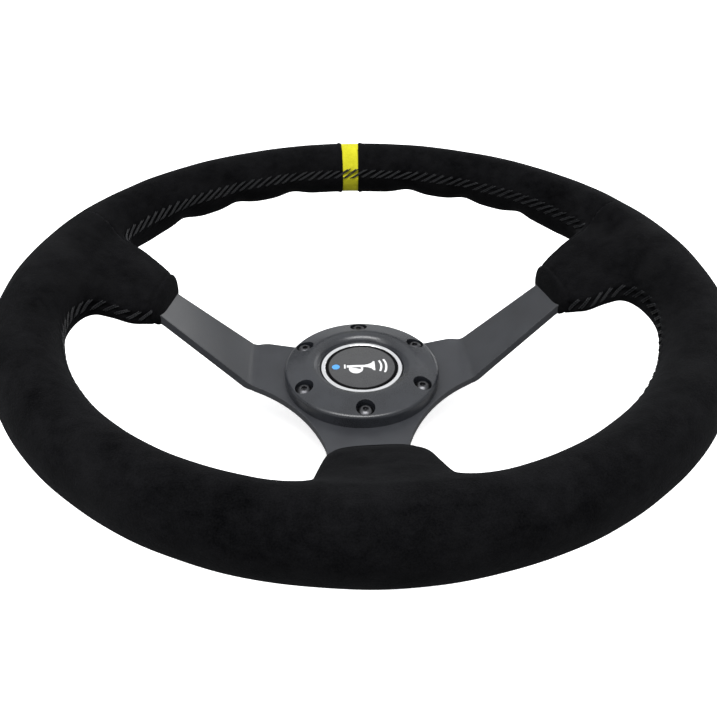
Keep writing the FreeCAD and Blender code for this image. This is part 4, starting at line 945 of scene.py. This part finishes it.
def cover_and_seams(finishes):
    """The four covers with their relief, and the laces that close them."""
    points, normals, quads = cover_surface()
    seams = {
        "upper": ribbon(upper_seam()),
        "lower_left": ribbon(lower_seam(-1)),
        "lower_right": ribbon(lower_seam(1)),
    }
    relief = (seam_relief(points, seams.values()) + stripe_relief(points)
              + split_relief(points) + hem_relief(points) + hand_relief(points))
    points = points + normals * relief[:, None]
    shells = split_cover(points, quads)
    for name, slot, node in (("cover_upper_left", "suede_black", "suede_upper_left"),
                             ("cover_upper_right", "suede_black", "suede_upper_right"),
                             ("cover_lower", "suede_black", "suede_lower"),
                             ("cover_stripe", "suede_yellow", "centre_stripe")):
        finish_piece(shells[name], finishes[slot], "wheel", slot, node)
    for name, lean in STITCH_LEANS.items():
        piece = lacing(f"lacing_{name}", seams[name], lean)
        finish_piece(piece, finishes["thread"], "wheel", "thread", f"stitch_{name}")


def foam(finish):
    """The moulded foam under the cover."""
    points, quads = padded_mesh(FOAM_VOXEL, COVER_THICKNESS + FOAM_GAP)
    piece = mesh_object("moulded_foam", points, quads)
    finish_piece(piece, finish, "wheel", "foam", "rim_foam")


def emblem():
    """A generic trumpet with sound arcs, and one dot, printed on the badge."""
    white = print_ink("ink_white", (0.80, 0.80, 0.80), (0.66, 0.66, 0.67))
    blue = print_ink("ink_blue", (0.05, 0.27, 0.68), (0.09, 0.36, 0.80))
    finish_piece(decal("emblem_horn", horn_outlines()), white, "horn_button", "badge")
    finish_piece(decal("emblem_dot", [dot_outline()]), blue, "horn_button", "badge")


NODE_FINISH = {
    "rim_foam": "foam", "core_ring": "tube", "spoke_plate": "spoke_black",
    "spoke_rivets": "rivet_steel", "horn_ring": "ring_black", "ring_screws": "screw_black",
    "horn_housing": "housing_black", "housing_seal": "seal_rubber",
    "horn_bezel": "bezel_silver", "horn_cap": "button_black", "horn_badge": "badge",
    "horn_springs": "spring_steel", "moving_contact": "contact_brass",
    "contact_rivet": "contact_brass", "fixed_contact_left": "contact_brass",
    "fixed_contact_right": "contact_brass", "signal_terminal": "terminal_tin",
    "ground_terminal": "terminal_tin", "ring_terminal": "terminal_tin",
    "signal_wire": "wire_red", "ground_wire": "wire_dark", "ground_screw": "zinc_steel",
    "coupler_hub": "hub_black", "release_collar": "collar_red",
    "collar_spring": "spring_steel", "collar_circlip": "clip_steel",
    "plunger_bush": "bush_white", "contact_plunger": "contact_brass",
    "plunger_spring": "spring_steel", "contact_cap": "contact_brass",
}


def node_finish(name):
    """Name of the finish of a CAD node. Those that a modelled piece stands for share one."""
    if name.startswith("lock_ball"):
        return "ball_steel"
    if name.startswith("suede") or name.startswith("stitch") or name == "centre_stripe":
        return "suede_black"
    return NODE_FINISH[name]


def finish_cad_nodes(finishes):
    """Every CAD node keeps its shape and takes its finish."""
    for name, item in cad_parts.items():
        item.data.materials.clear()
        item.data.materials.append(finishes[node_finish(name)])


FINISHES = all_finishes()
finish_cad_nodes(FINISHES)
cover_and_seams(FINISHES)
foam(FINISHES["foam"])
emblem()
studio(floor_finish())
camera()
